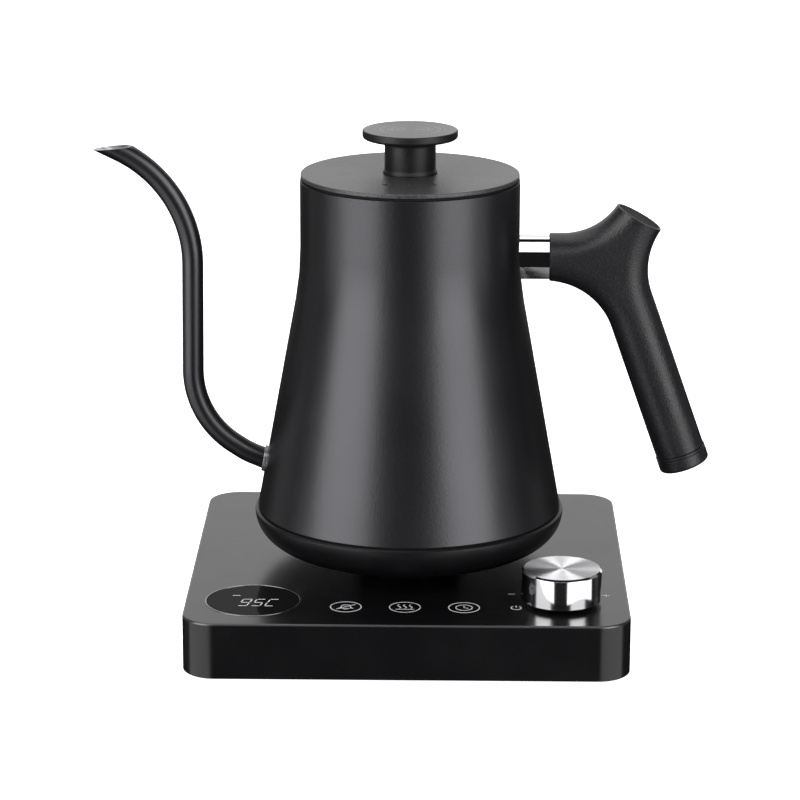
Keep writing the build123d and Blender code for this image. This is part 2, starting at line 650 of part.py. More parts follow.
# Spout: a bent tube with a slanting tip, welded to the body in a small bright collar.
TIP = (-134.5, 221.5)
TIP_SLANT = 6.0
with BuildPart() as spout_tube:
    with BuildLine(Plane.XZ):
        tube_path = FilletPolyline(*SPOUT_ROUTE, radius=SPOUT_BENDS)
    with BuildSketch(Plane(origin=tube_path @ 0, z_dir=tube_path % 0)):
        Circle(TUBE_R)
        Circle(TUBE_R - TUBE_T, mode=Mode.SUBTRACT)
    sweep()
    split(
        bisect_by=Plane(
            origin=(TIP[0], 0, TIP[1]), z_dir=(-sin(radians(TIP_SLANT)), 0, cos(radians(TIP_SLANT)))
        ),
        keep=Keep.BOTTOM,
    )
    add(body_volume.part, mode=Mode.SUBTRACT)
save(spout_tube, "spout_tube")
BEAD = 1.5  # the collar's stand-off from the body
with BuildPart() as spout_collar:
    with BuildSketch(Plane(origin=tube_path @ 0, z_dir=tube_path % 0)):
        Circle(TUBE_R + 1.1)
        Circle(TUBE_R, mode=Mode.SUBTRACT)
    extrude(amount=20.0)
    add(body_block(BEAD).part, mode=Mode.INTERSECT)
    add(body_volume.part, mode=Mode.SUBTRACT)
save(spout_collar, "spout_collar")

# ======================= handle =======================

NECK_ANGLE, GRIP_ANGLE, HORN_ANGLE = 180.0, 270.0 + GRIP_TILT, 90.0 - HORN_TILT

# Bracket: a polished eight-sided bar from the body to the neck.
BAR_HALF, BAR_FLAT, BAR_DEPTH, BAR_RIDGE = 9.9, 3.5, 6.4, 3.0
with BuildPart() as handle_bracket:
    with BuildSketch(Plane.YZ.offset(BODY_R - 4.0)):
        with Locations((0, NECK_Z)):
            Polygon(
                (BAR_RIDGE, BAR_HALF), (-BAR_RIDGE, BAR_HALF), (-BAR_DEPTH, BAR_FLAT),
                (-BAR_DEPTH, -BAR_FLAT), (-BAR_RIDGE, -BAR_HALF), (BAR_RIDGE, -BAR_HALF),
                (BAR_DEPTH, -BAR_FLAT), (BAR_DEPTH, BAR_FLAT), align=None,
            )
    extrude(amount=NECK_X - BODY_R + 4.0)
    add(body_volume.part, mode=Mode.SUBTRACT)
save(handle_bracket, "handle_bracket")

# Core: the steel rod inside the neck and the grip, welded to the bracket.
CORE_R = 4.5
with BuildPart() as handle_core:
    with BuildLine(Plane.XZ):
        core_path = FilletPolyline(
            (NECK_X, JUNCTION[1]), JUNCTION, from_junction(GRIP_ANGLE, 70.0), radius=24.0
        )
    with BuildSketch(Plane(origin=core_path @ 0, z_dir=core_path % 0)):
        Circle(CORE_R)
    sweep()
save(handle_core, "handle_core")

# Screw down the axis of the horn into the core, hidden by the top cap.
CAP_T, CAP_R = 2.0, 10.2
SCREW_HEAD = HORN_LENGTH - CAP_T - 4.0
SCREW_HEAD_R, SCREW_R, SCREW_TIP = 4.0, 2.0, 4.0
HORN_DIR = (cos(radians(HORN_ANGLE)), 0, sin(radians(HORN_ANGLE)))


def horn_plane(along):
    """The plane square to the horn's axis, this far from the junction."""
    x, z = from_junction(HORN_ANGLE, along)
    return Plane(origin=(x, 0, z), z_dir=HORN_DIR)


with BuildPart() as handle_screw:
    with BuildSketch(horn_plane(SCREW_HEAD)):
        Circle(SCREW_HEAD_R)
    extrude(amount=3.0)
    with BuildSketch(horn_plane(SCREW_TIP)):
        Circle(SCREW_R)
    extrude(amount=SCREW_HEAD - SCREW_TIP)
    add(handle_core.part, mode=Mode.SUBTRACT)
save(handle_screw, "handle_screw")
with BuildPart() as handle_top_cap:
    with BuildSketch(horn_plane(HORN_LENGTH - CAP_T)):
        Circle(CAP_R)
    extrude(amount=CAP_T)
save(handle_top_cap, "handle_top_cap")

# Grip: one moulding, its outline blended where neck, horn and grip meet.
GRIP_DIR = (cos(radians(GRIP_ANGLE)), 0, sin(radians(GRIP_ANGLE)))
PLUG_R, PLUG_DEPTH = 7.0, 9.0  # the end cap's plug in the foot of the grip


def grip_plane(along):
    """The plane square to the grip's axis, this far down from the junction."""
    x, z = from_junction(GRIP_ANGLE, along)
    return Plane(origin=(x, 0, z), z_dir=GRIP_DIR)


GRIP_ROUND = 10.8  # the long edges, which leaves a narrow flat along the middle of each cheek
BLEND_BELOW, BLEND_RIGHT, BLEND_ABOVE = 32.8, 33.2, 29.5
neck_low = (NECK_X, NECK_Z - NECK_R)
neck_high = (NECK_X, NECK_Z + NECK_R)
below = crossing(
    neck_low, NECK_ANGLE - NECK_FALL, from_junction(GRIP_ANGLE, 0, -GRIP_R), GRIP_ANGLE
)
right = crossing(
    from_junction(GRIP_ANGLE, 0, GRIP_R), GRIP_ANGLE, from_junction(HORN_ANGLE, 0, -GRIP_R), HORN_ANGLE
)
horn_high = from_junction(HORN_ANGLE, HORN_LENGTH, GRIP_R)
above = crossing(neck_high, NECK_ANGLE, horn_high, HORN_ANGLE - HORN_FLARE)
with BuildPart() as handle_grip:
    with BuildSketch(Plane.XZ) as side_view:
        Polygon(
            neck_low,
            below,
            from_junction(GRIP_ANGLE, GRIP_LENGTH, -GRIP_R),
            from_junction(GRIP_ANGLE, GRIP_LENGTH, GRIP_R),
            right,
            from_junction(HORN_ANGLE, HORN_LENGTH, -GRIP_R),
            horn_high,
            above,
            neck_high,
            align=None,
        )
        for corner, radius in ((below, BLEND_BELOW), (right, BLEND_RIGHT), (above, BLEND_ABOVE)):
            spot = Vector(*corner)
            fillet(side_view.vertices().sort_by_distance(spot)[0], radius)
    extrude(amount=GRIP_R, both=True)
    long_edges = handle_grip.edges().filter_by(
        lambda edge: abs(abs(edge.center().Y) - GRIP_R) < 0.01
    )
    ends = long_edges.filter_by(
        lambda edge: edge.geom_type == GeomType.LINE and edge.length < 2 * GRIP_R + 0.1
        and min(
            abs(edge.center().X - NECK_X),
            (edge.center() - grip_plane(GRIP_LENGTH).origin).dot(Vector(*GRIP_DIR)) ** 2,
            (edge.center() - horn_plane(HORN_LENGTH).origin).dot(Vector(*HORN_DIR)) ** 2,
        ) < 0.01
    )
    fillet([edge for edge in long_edges if edge not in ends], GRIP_ROUND)
    add(handle_core.part, mode=Mode.SUBTRACT)
    with BuildSketch(horn_plane(HORN_LENGTH - CAP_T)):
        Circle(CAP_R)
    extrude(amount=CAP_T + 1.0, mode=Mode.SUBTRACT)
    with BuildSketch(horn_plane(SCREW_HEAD)):
        Circle(SCREW_HEAD_R)
    extrude(amount=4.0, mode=Mode.SUBTRACT)
    with BuildSketch(horn_plane(SCREW_TIP)):
        Circle(SCREW_R)
    extrude(amount=SCREW_HEAD - SCREW_TIP, mode=Mode.SUBTRACT)
    with BuildSketch(grip_plane(GRIP_LENGTH - PLUG_DEPTH)):
        Circle(PLUG_R)
    extrude(amount=PLUG_DEPTH, mode=Mode.SUBTRACT)
save(handle_grip, "handle_grip")

# End cap: a slightly wider plug with a rounded rim, pushed into the foot of the grip.
with BuildPart() as handle_end_cap:
    with BuildSketch(grip_plane(GRIP_LENGTH)):
        Circle(GRIP_R + 0.4)
    extrude(amount=END_CAP)
    fillet(handle_end_cap.edges().sort_by(Axis(grip_plane(0).origin, GRIP_DIR))[-1], 1.6)
    with BuildSketch(grip_plane(GRIP_LENGTH - PLUG_DEPTH)):
        Circle(PLUG_R)
    extrude(amount=PLUG_DEPTH)
save(handle_end_cap, "handle_end_cap")

# ======================= lid =======================

LID_T = 2.0
EDGE_ROUND = 0.5
LID_LOW = LID_TOP - LID_T
CUP_R, CUP_T, CUP_LOW = 46.0, 0.8, 197.0
STEAM_SPOTS = [(0, -29.0), (-11.0, -27.6), (11.0, -27.6)]
STEAM_R = 1.2
KNOB_SCREW_R = 2.0
STEM_R, KNOB_T = 11.7, 4.1

# Lid seal: a silicone ring with two fins, and a flange that rests on the rim of the body.
with BuildPart() as lid_seal:
    with BuildSketch(Plane.XZ):
        with BuildLine():
            bore = CUP_R + RUNNING
            fin = BODY_R - BODY_T - CLEAR
            Polyline(
                (bore, 198.6), (bore + 1.2, 198.6), (bore + 1.2, 200.2), (fin, 200.8), (fin, 201.6),
                (bore + 1.2, 202.0), (bore + 1.2, 203.4), (fin, 204.0), (fin, 204.8), (bore + 1.2, 205.2),
                (bore + 1.2, BODY_TOP), (BODY_R - 0.6, BODY_TOP), (BODY_R - 0.6, LID_LOW - 0.1),
                (bore, LID_LOW - 0.1), (bore, 198.6),
            )
        make_face()
    revolve(axis=Axis.Z)
save(lid_seal, "lid_seal")

# Lid cover: a flat disc with a fine round on both edges and three steam holes.
with BuildPart() as lid_cover:
    with BuildSketch(Plane.XY.offset(LID_LOW)):
        Circle(LID_R)
        with Locations(*STEAM_SPOTS):
            Circle(STEAM_R, mode=Mode.SUBTRACT)
        Circle(KNOB_SCREW_R + 0.6, mode=Mode.SUBTRACT)
    extrude(amount=LID_T)
    rims = lid_cover.edges().filter_by(lambda edge: edge.length > 2 * LID_R)
    fillet(rims, EDGE_ROUND)
save(lid_cover, "lid_cover")

# Inner cup: a drawn stainless cup that fills the mouth, with the same steam holes.
with BuildPart() as lid_cup:
    with BuildSketch(Plane.XZ):
        with BuildLine():
            Polyline(
                (0, CUP_LOW), (CUP_R, CUP_LOW), (CUP_R, LID_LOW), (CUP_R - CUP_T, LID_LOW),
                (CUP_R - CUP_T, CUP_LOW + CUP_T), (0, CUP_LOW + CUP_T), (0, CUP_LOW),
            )
        make_face()
    revolve(axis=Axis.Z)
    fillet(lid_cup.edges().group_by(Axis.Z)[0], 0.7)
    with BuildSketch(Plane.XY.offset(CUP_LOW)):
        with Locations(*STEAM_SPOTS):
            Circle(STEAM_R)
        Circle(KNOB_SCREW_R + 0.1)
    extrude(amount=CUP_T, mode=Mode.SUBTRACT)
save(lid_cup, "lid_cup")

# Knob: a mushroom with a flat top, a flared foot and a blind hole for its screw.
with BuildPart() as lid_knob:
    with BuildSketch(Plane.XZ):
        with BuildLine():
            rim_low = KNOB_TOP - KNOB_T
            Polyline(
                (0, KNOB_TOP), (KNOB_R - 0.7, KNOB_TOP), (KNOB_R, KNOB_TOP - 0.7),
                (KNOB_R, rim_low + 1.0), (KNOB_R - 1.4, rim_low),
                (STEM_R + 3.0, rim_low),
            )
            RadiusArc((STEM_R + 3.0, rim_low), (STEM_R, rim_low - 3.0), 3.0)
            Polyline(
                (STEM_R, rim_low - 3.0), (STEM_R, LID_TOP + 2.0), (STEM_R + 0.7, LID_TOP + 0.8),
                (STEM_R + 0.7, LID_TOP), (0, LID_TOP), (0, KNOB_TOP),
            )
        make_face()
    revolve(axis=Axis.Z)
    with BuildSketch(Plane.XY.offset(LID_TOP)):
        Circle(KNOB_SCREW_R)
    extrude(amount=8.0, mode=Mode.SUBTRACT)
save(lid_knob, "lid_knob")
save(
    stack((4.2, 0, CUP_LOW - 2.0, CUP_LOW), (KNOB_SCREW_R, 0, CUP_LOW, LID_TOP + 8.0)),
    "knob_screw",
)
save(stack((5.0, KNOB_SCREW_R, CUP_LOW + CUP_T, LID_LOW)), "lid_spacer")
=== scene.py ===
import json
import logging
from dataclasses import dataclass
from enum import Enum
from math import acos, atan2, ceil, cos, degrees, hypot, pi, radians, sin, tan
from typing import Any, Callable, Iterable, Optional, Sequence

import bmesh
import bpy
from mathutils import Matrix, Vector


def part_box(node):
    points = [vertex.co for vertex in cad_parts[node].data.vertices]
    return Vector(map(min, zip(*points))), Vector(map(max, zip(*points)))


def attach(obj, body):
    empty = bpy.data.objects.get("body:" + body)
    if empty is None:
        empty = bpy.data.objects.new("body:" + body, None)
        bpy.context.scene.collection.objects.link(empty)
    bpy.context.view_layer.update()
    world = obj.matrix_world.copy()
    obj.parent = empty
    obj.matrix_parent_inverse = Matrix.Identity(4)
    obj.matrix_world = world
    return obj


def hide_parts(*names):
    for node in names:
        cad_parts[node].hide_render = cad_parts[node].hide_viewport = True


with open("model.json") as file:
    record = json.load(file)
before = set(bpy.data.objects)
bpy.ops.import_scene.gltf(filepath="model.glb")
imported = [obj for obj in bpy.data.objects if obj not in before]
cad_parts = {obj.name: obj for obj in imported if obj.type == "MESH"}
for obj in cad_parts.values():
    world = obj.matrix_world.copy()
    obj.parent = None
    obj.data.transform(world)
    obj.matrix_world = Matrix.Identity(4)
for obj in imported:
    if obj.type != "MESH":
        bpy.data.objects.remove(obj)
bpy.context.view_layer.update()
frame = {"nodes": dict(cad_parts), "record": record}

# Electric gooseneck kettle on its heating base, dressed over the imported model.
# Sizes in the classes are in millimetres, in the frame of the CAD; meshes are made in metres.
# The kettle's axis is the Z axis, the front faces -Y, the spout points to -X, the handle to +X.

MM = 0.001
TINY = 1e-6
PAST = 1.0  # how far a cutter runs on past the face that it opens, in mm
BACKWARDS = Matrix.Rotation(-pi / 2, 4, "X")  # lays an upright piece down, its own Z to the back
Pair = tuple[float, float]
Corner = tuple[float, float, float]
log = logging.getLogger("kettle")


class Body(Enum):
    """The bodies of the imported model."""

    BASE = "base"
    SOCKET = "coupler_socket"
    KETTLE = "kettle"
    SEAL = "lid_seal"
    LID = "lid"
    PLUNGER = "switch_plunger"
    DIAL = "dial"


@dataclass(frozen=True)
class Extent:
    """The box of a CAD node at rest, in mm."""

    left: float
    front: float
    bottom: float
    right: float
    back: float
    top: float

    @classmethod
    def of(cls, node: str) -> "Extent":
        """Reads a node's box from the frame."""
        low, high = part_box(node)
        return cls(*(value / MM for value in (*low, *high)))

    @property
    def centre(self) -> Corner:
        """The middle of the box."""
        return ((self.left + self.right) / 2, (self.front + self.back) / 2, (self.bottom + self.top) / 2)

    @property
    def radius(self) -> float:
        """Half the width: the radius of a round piece."""
        return (self.right - self.left) / 2

    @property
    def axis(self) -> Matrix:
        """Moves a lathed piece from the Z axis to the middle of the box in plan."""
        return Matrix.Translation((self.centre[0], self.centre[1], 0))


# ---------------------------------------------------------------- nodes and finishes


class NodeWork:
    """A shader or geometry tree while it is built."""

    def __init__(self, tree: bpy.types.NodeTree) -> None:
        """Starts from a tree."""
        self.tree = tree

    def add(self, kind: str, inputs: dict[Any, Any], **settings: Any) -> bpy.types.Node:
        """Adds one node, sets its options and fills its inputs.

        Args:
            kind: Blender's name for the node type.
            inputs: Input name or number, with the socket to link or the value to set.
            **settings: Options of the node itself.

        Returns:
            The new node.
        """
        node = self.tree.nodes.new(kind)
        for option, value in settings.items():
            setattr(node, option, value)
        for key, value in inputs.items():
            if isinstance(value, bpy.types.NodeSocket):
                self.tree.links.new(value, node.inputs[key])
            else:
                node.inputs[key].default_value = value
        return node


class Surface(NodeWork):
    """One material's tree: its shader, and the object coordinates that its patterns read."""

    def __init__(self, material: bpy.types.Material, uniform: dict[Any, Any]) -> None:
        """Starts the tree.

        Args:
            material: The new material.
            uniform: The shader's inputs that are the same all over the surface.
        """
        material.use_nodes = True
        material.node_tree.nodes.clear()
        super().__init__(material.node_tree)
        self.shader = self.add("ShaderNodeBsdfPrincipled", uniform)
        self.add("ShaderNodeOutputMaterial", {"Surface": self.shader.outputs["BSDF"]})
        self.place = self.add("ShaderNodeTexCoord", {}).outputs["Object"]

    def features(self, size_mm: float, **more: float) -> dict[Any, Any]:
        """Returns the inputs of a texture whose features are about size_mm wide."""
        return {"Vector": self.place, "Scale": 1 / (size_mm * MM), **more}

    def feed(self, title: str, output: bpy.types.NodeSocket) -> None:
        """Links an output to an input of the shader."""
        self.tree.links.new(output, self.shader.inputs[title])


def linear(hex_colour: str) -> tuple[float, float, float, float]:
    """Turns an sRGB hex colour such as "#1b1b1d" into linear RGBA.

    Args:
        hex_colour: Six hex digits after a #.

    Returns:
        Red, green, blue and a full alpha.
    """
    parts = [int(hex_colour[i : i + 2], 16) / 255 for i in (1, 3, 5)]
    red, green, blue = [p / 12.92 if p <= 0.04045 else ((p + 0.055) / 1.055) ** 2.4 for p in parts]
    return (red, green, blue, 1.0)


LATHE_UV = "turned"
NOISE_SPAN = (0.3, 0.7)  # nearly all values of a noise lie between these


@dataclass(frozen=True)
class Finish:
    """A real surface finish; subclasses add the pattern that it shows.

    Attributes:
        name: Common name of the material and how its surface was made.
        colour: Main colour, sRGB hex.
        shade: Second colour of the fine colour variation, sRGB hex.
        roughness: Middle of the roughness.
        spread: How far the roughness wanders to each side.
        grain_mm: Size of the surface grain.
        depth_mm: Height of that grain.
        patch_mm: Size of the slow, cloudy variation.
        metallic: 1 for bare metal.
        specular: Blender's specular level; 0.5 is the plain dielectric.
        tint: Colour of the reflection, sRGB hex.
    """

    name: str
    colour: str
    shade: str
    roughness: float
    spread: float = 0.04
    grain_mm: float = 0.6
    depth_mm: float = 0.01
    patch_mm: float = 18.0
    metallic: float = 0.0
    specular: float = 0.5
    tint: str = "#ffffff"

    def material(self) -> bpy.types.Material:
        """Returns the finish's material, built on first use.

        Returns:
            The material.
        """
        known = bpy.data.materials.get(self.name)
        if known is not None:
            return known
        material = bpy.data.materials.new(self.name)
        uniform = {
            "Base Color": linear(self.colour),
            "Roughness": self.roughness,
            "Metallic": self.metallic,
            "Specular IOR Level": self.specular,
            "Specular Tint": linear(self.tint),
        }
        self.pattern(Surface(material, uniform))
        return material

    def pattern(self, on: Surface) -> None:
        """Adds grain, cloudy roughness and colour variation.

        Args:
            on: The material's tree.
        """
        grain = on.add("ShaderNodeTexNoise", on.features(self.grain_mm, Detail=3.0)).outputs["Fac"]
        patches = on.add("ShaderNodeTexNoise", on.features(self.patch_mm, Detail=2.0)).outputs["Fac"]
        self.vary(on, patches, grain, grain)

    def vary(
        self,
        on: Surface,
        rough_by: bpy.types.NodeSocket,
        colour_by: bpy.types.NodeSocket,
        height: bpy.types.NodeSocket,
    ) -> bpy.types.NodeSocket:
        """Lets the roughness follow one pattern and the colour another, and gives a third its depth.

        Args:
            on: The material's tree.
            rough_by: Pattern of the roughness.
            colour_by: Pattern of the colour.
            height: Pattern of the relief.

        Returns:
            The normal with the relief.
        """
        span = {
            "Value": rough_by,
            "From Min": NOISE_SPAN[0],
            "From Max": NOISE_SPAN[1],
            "To Min": self.roughness - self.spread,
            "To Max": self.roughness + self.spread,
        }
        colours = {"Factor": colour_by, 6: linear(self.colour), 7: linear(self.shade)}
        relief = {"Height": height, "Strength": 1.0, "Distance": self.depth_mm * MM}
        on.feed("Roughness", on.add("ShaderNodeMapRange", span).outputs["Result"])
        on.feed("Base Color", on.add("ShaderNodeMix", colours, data_type="RGBA").outputs[2])
        normal = on.add("ShaderNodeBump", relief).outputs["Normal"]
        on.feed("Normal", normal)
        return normal


@dataclass(frozen=True)
class SprayedCoat(Finish):
    """Paint or powder sprayed on metal: orange peel below a finer grain."""

    peel_mm: float = 2.5
    peel_depth_mm: float = 0.004

    def pattern(self, on: Surface) -> None:
        """Adds the flow of the paint to the plain grain.

        Args:
            on: The material's tree.
        """
        grain = on.add("ShaderNodeTexNoise", on.features(self.grain_mm, Detail=3.0)).outputs["Fac"]
        peel = on.add("ShaderNodeTexNoise", on.features(self.peel_mm, Detail=1.0)).outputs["Fac"]
        patches = on.add("ShaderNodeTexNoise", on.features(self.patch_mm, Detail=2.0)).outputs["Fac"]
        fine = self.vary(on, patches, grain, grain)
        flow = {"Height": peel, "Strength": 1.0, "Distance": self.peel_depth_mm * MM, "Normal": fine}
        on.feed("Normal", on.add("ShaderNodeBump", flow).outputs["Normal"])


@dataclass(frozen=True)
class SparkErodedMoulding(Finish):
    """Plastic from a spark-eroded mould: small even pits with soft lands between them."""

    def pattern(self, on: Surface) -> None:
        """Adds the pits.

        Args:
            on: The material's tree.
        """
        pits = on.add("ShaderNodeTexVoronoi", on.features(self.grain_mm), feature="SMOOTH_F1")
        patches = on.add("ShaderNodeTexNoise", on.features(self.patch_mm, Detail=2.0)).outputs["Fac"]
        self.vary(on, patches, pits.outputs["Distance"], pits.outputs["Distance"])


@dataclass(frozen=True)
class DirectedBrush(Finish):
    """Metal brushed level or drawn about an upright axis: long scratches that all lie level.

    Attributes:
        stretch: Length of a scratch, in grain widths.
    """

    stretch: float = 60.0

    def pattern(self, on: Surface) -> None:
        """Adds the scratches.

        Args:
            on: The material's tree.
        """
        scale = (1 / self.stretch, 1 / self.stretch, 1.0)
        drawn = on.add("ShaderNodeMapping", {"Vector": on.place, "Scale": scale}).outputs["Vector"]
        size = {**on.features(self.grain_mm, Detail=2.0), "Vector": drawn}
        scratches = on.add("ShaderNodeTexNoise", size).outputs["Fac"]
        patches = on.add("ShaderNodeTexNoise", on.features(self.patch_mm, Detail=1.0)).outputs["Fac"]
        self.vary(on, scratches, patches, scratches)


@dataclass(frozen=True)
class CircularBrush(Finish):
    """Metal faced on a lathe: rings about a centre, and highlights that fan out from it.

    Attributes:
        centre: Where the axis stands in plan, in metres.
        anisotropy: How far the rings draw out a highlight.
        rotation: Direction of the cut against the UV map, in whole turns.
    """

    centre: Pair = (0.0, 0.0)
    anisotropy: float = 0.85
    rotation: float = 0.25

    def pattern(self, on: Surface) -> None:
        """Adds the rings, and the direction of the cut from the piece's own UV map.

        Args:
            on: The material's tree.
        """
        centred = {"Vector": on.place, "Location": (-self.centre[0], -self.centre[1], 0.0)}
        moved = on.add("ShaderNodeMapping", centred).outputs["Vector"]
        flat = on.add("ShaderNodeVectorMath", {0: moved, 1: (1.0, 1.0, 0.0)}, operation="MULTIPLY")
        radius = on.add("ShaderNodeVectorMath", {0: flat.outputs[0]}, operation="LENGTH")
        outwards = on.add("ShaderNodeCombineXYZ", {"X": radius.outputs["Value"]}).outputs["Vector"]
        size = {**on.features(self.grain_mm, Detail=2.0), "Vector": outwards}
        rings = on.add("ShaderNodeTexNoise", size).outputs["Fac"]
        patches = on.add("ShaderNodeTexNoise", on.features(self.patch_mm, Detail=1.0)).outputs["Fac"]
        self.vary(on, rings, patches, rings)
        on.shader.inputs["Anisotropic"].default_value = self.anisotropy
        on.shader.inputs["Anisotropic Rotation"].default_value = self.rotation
        cut_way = on.add("ShaderNodeTangent", {}, direction_type="UV_MAP", uv_map=LATHE_UV)
        on.feed("Tangent", cut_way.outputs["Tangent"])


@dataclass(frozen=True)
class PrintedBoard(Finish):
    """Glass-fibre board under green lacquer, with copper tracks showing lighter.

    Attributes:
        track: Colour of the tracks, sRGB hex.
        track_mm: Width of a track.
        run_mm: Length of the pattern's repeat.
        pitch_mm: Distance between two tracks.
    """

    track: str = "#2f6b3c"
    track_mm: float = 0.35
    run_mm: float = 6.0
    pitch_mm: float = 2.4

    def pattern(self, on: Surface) -> None:
        """Adds tracks as the joints of a brick pattern.

        Args:
            on: The material's tree.
        """
        layout = {
            "Vector": on.place,
            "Color1": linear(self.colour),
            "Color2": linear(self.shade),
            "Mortar": linear(self.track),
            "Scale": 1.0,
            "Mortar Size": self.track_mm * MM,
            "Brick Width": self.run_mm * MM,
            "Row Height": self.pitch_mm * MM,
        }
        tracks = on.add("ShaderNodeTexBrick", layout)
        relief = {"Height": tracks.outputs["Fac"], "Strength": 1.0, "Distance": self.depth_mm * MM}
        on.feed("Base Color", tracks.outputs["Color"])
        on.feed("Normal", on.add("ShaderNodeBump", relief).outputs["Normal"])


@dataclass(frozen=True)
class LitInk(Finish):
    """Print or lit segments: pale, and bright enough to read against black; on print the glow is painted
    light.

    Attributes:
        glow: Strength of its own light.
    """

    glow: float = 0.0

    def pattern(self, on: Surface) -> None:
        """Adds the slightly uneven ink, and its glow, which on print is painted light.

        Args:
            on: The material's tree.
        """
        super().pattern(on)
        on.shader.inputs["Emission Color"].default_value = linear(self.colour)
        on.shader.inputs["Emission Strength"].default_value = self.glow


# The grain of coats, mouldings and brushed metal is finer in reality: it is drawn as coarse as it
# needs to be to show in a render of the whole object.

# Satin black baked coating on drawn steel: broad soft highlights, a trace of orange peel.
BODY_COAT = SprayedCoat(
    "satin_black_coating_on_steel", "#060607", "#0d0d0f", 0.33, 0.02, grain_mm=1.2, depth_mm=0.04,
    patch_mm=40.0, specular=0.6, tint="#f8f8ff", peel_depth_mm=0.001,
)
# Fine textured powder coating on the lid: a grey, grainy sheen.
LID_COAT = SprayedCoat(
    "textured_black_powder_coating", "#060607", "#444446", 0.34, 0.03, grain_mm=1.3, depth_mm=0.26,
    peel_depth_mm=0.0, patch_mm=60.0,
)
# Satin black enamel on the casing: smoother, so it mirrors what stands on it.
CASING_COAT = SprayedCoat(
    "satin_black_enamel_on_casing", "#060607", "#0c0c0e", 0.24, 0.02, grain_mm=0.7, depth_mm=0.003,
    peel_depth_mm=0.002,
)
# The casing's enamel again over its rolled edge, made brighter and more reflective there: a painted highlight
# that strengthens the line of light along the edge.
PAINTED_HIGHLIGHT_EDGE_COAT = SprayedCoat(
    "satin_black_enamel_with_painted_edge_highlight", "#0a0a0b", "#131315", 0.3, 0.03, grain_mm=0.7, depth_mm=0.003,
    specular=1.0, peel_depth_mm=0.002,
)
# Fine textured moulding of the knob: matt, with a dim sheen down the stem.
KNOB_MOULDING = SparkErodedMoulding(
    "textured_black_moulding", "#060607", "#101012", 0.44, grain_mm=0.9, depth_mm=0.03, specular=0.3
)
# Top of the knob, faced on a lathe before coating: faint rings and a brighter sheen.
KNOB_TOP = CircularBrush(
    "ring_textured_knob_top", "#0c0c0d", "#343436", 0.3, 0.08, grain_mm=1.3, depth_mm=0.02,
    specular=0.66, anisotropy=0.3,
)
# Spark-eroded grip moulding: matt, with an even grain that breaks up its highlights.
GRIP_MOULDING = SparkErodedMoulding(
    "matt_black_grip_moulding", "#08080a", "#1c1c20", 0.4, grain_mm=0.9, depth_mm=0.1, specular=0.38
)
# Smooth moulding of the cap in the horn: the darkest black of the handle.
CAP_MOULDING = SparkErodedMoulding(
    "smooth_black_cap_moulding", "#060607", "#0b0b0c", 0.5, grain_mm=0.6, depth_mm=0.004, specular=0.02
)
# Plain moulded plastic of skirt, bottom panel and housings: an even, low sheen.
SKIRT_MOULDING = Finish(
    "satin_black_moulding", "#08080a", "#0e0e10", 0.38, grain_mm=0.5, depth_mm=0.004, specular=0.2
)
# Polished stainless steel: nearly a mirror with a trace of drawn lines.
POLISHED_STEEL = DirectedBrush(
    "polished_stainless_steel", "#cfcfd0", "#c6c6c8", 0.09, 0.03, grain_mm=0.3, depth_mm=0.0006,
    metallic=1.0,
)
# Bare stainless steel inside the vessel and the tube, drawn about the axis: soft grey bands.
DRAWN_STEEL = DirectedBrush(
    "drawn_stainless_steel", "#dad9d7", "#cccbc9", 0.38, 0.04, grain_mm=0.6, depth_mm=0.0012,
    metallic=1.0,
)
# Ground steel at the spout's mouth and of its foot ring: an even pale grey without lines.
GROUND_STEEL = Finish(
    "ground_stainless_steel", "#c4c4c6", "#acacaf", 0.36, 0.06, grain_mm=0.4, depth_mm=0.002,
    metallic=1.0,
)
# Zinc-plated steel of screws and small stampings: bluish grey, a little cloudy.
PLATED_STEEL = Finish(
    "zinc_plated_steel", "#a9adb1", "#8f9398", 0.34, 0.08, grain_mm=0.5, depth_mm=0.004, patch_mm=3.0,
    metallic=1.0,
)
# Turned aluminium with a circular brush: highlights fan out from the centre.
TURNED_ALUMINIUM = CircularBrush(
    "circular_brushed_aluminium", "#f4f4f6", "#dcdce0", 0.48, 0.08, grain_mm=0.5, depth_mm=0.0015,
    metallic=1.0, centre=tuple(value * MM for value in Extent.of("dial_cap").centre[:2]), anisotropy=0.95,
)
# Bright-cut side of the dial: nearly a mirror.
BRIGHT_ALUMINIUM = Finish(
    "bright_cut_aluminium", "#f4f4f6", "#ececef", 0.1, 0.02, grain_mm=0.2, depth_mm=0.0004, metallic=1.0
)
# Die-cast aluminium of the heat plate: grey, slightly pitted.
CAST_ALUMINIUM = Finish(
    "die_cast_aluminium", "#9da0a3", "#868a8e", 0.48, 0.08, grain_mm=0.8, depth_mm=0.03, metallic=1.0
)
# Bright ring round the display: a thin grey line.
TRIM_RING = Finish(
    "bright_trim_metal", "#8f9092", "#7d7e80", 0.22, grain_mm=0.3, depth_mm=0.001, metallic=1.0
)
# Smoked lens: smooth, black, little reflection because of its coating.
SMOKED_LENS = Finish(
    "smoked_lens", "#111112", "#141415", 0.06, 0.015, grain_mm=0.4, depth_mm=0.0002, patch_mm=9.0,
    specular=0.012,
)
# Silicone rubber of feet, seals and grommet: dull black.
SILICONE = Finish(
    "black_silicone_rubber", "#070708", "#101011", 0.62, grain_mm=0.4, depth_mm=0.01, specular=0.12
)
# Lacquered glass-fibre board: green with paler tracks.
CIRCUIT_BOARD = PrintedBoard("green_lacquered_board", "#174d27", "#1a5530", 0.35, depth_mm=0.03)
# Brass contacts: warm yellow metal.
CONTACT_BRASS = Finish(
    "drawn_brass", "#c79a4b", "#b08438", 0.28, 0.06, grain_mm=0.4, depth_mm=0.003, metallic=1.0
)
# Screen print on the casing: thin pale ink, with a painted glow that lifts it, though ink gives no light.
PAD_PRINT_WITH_PAINTED_GLOW = LitInk(
    "pale_screen_print_with_painted_glow", "#c9c9ca", "#b4b4b6", 0.5, grain_mm=0.3, depth_mm=0.002, glow=0.16
)
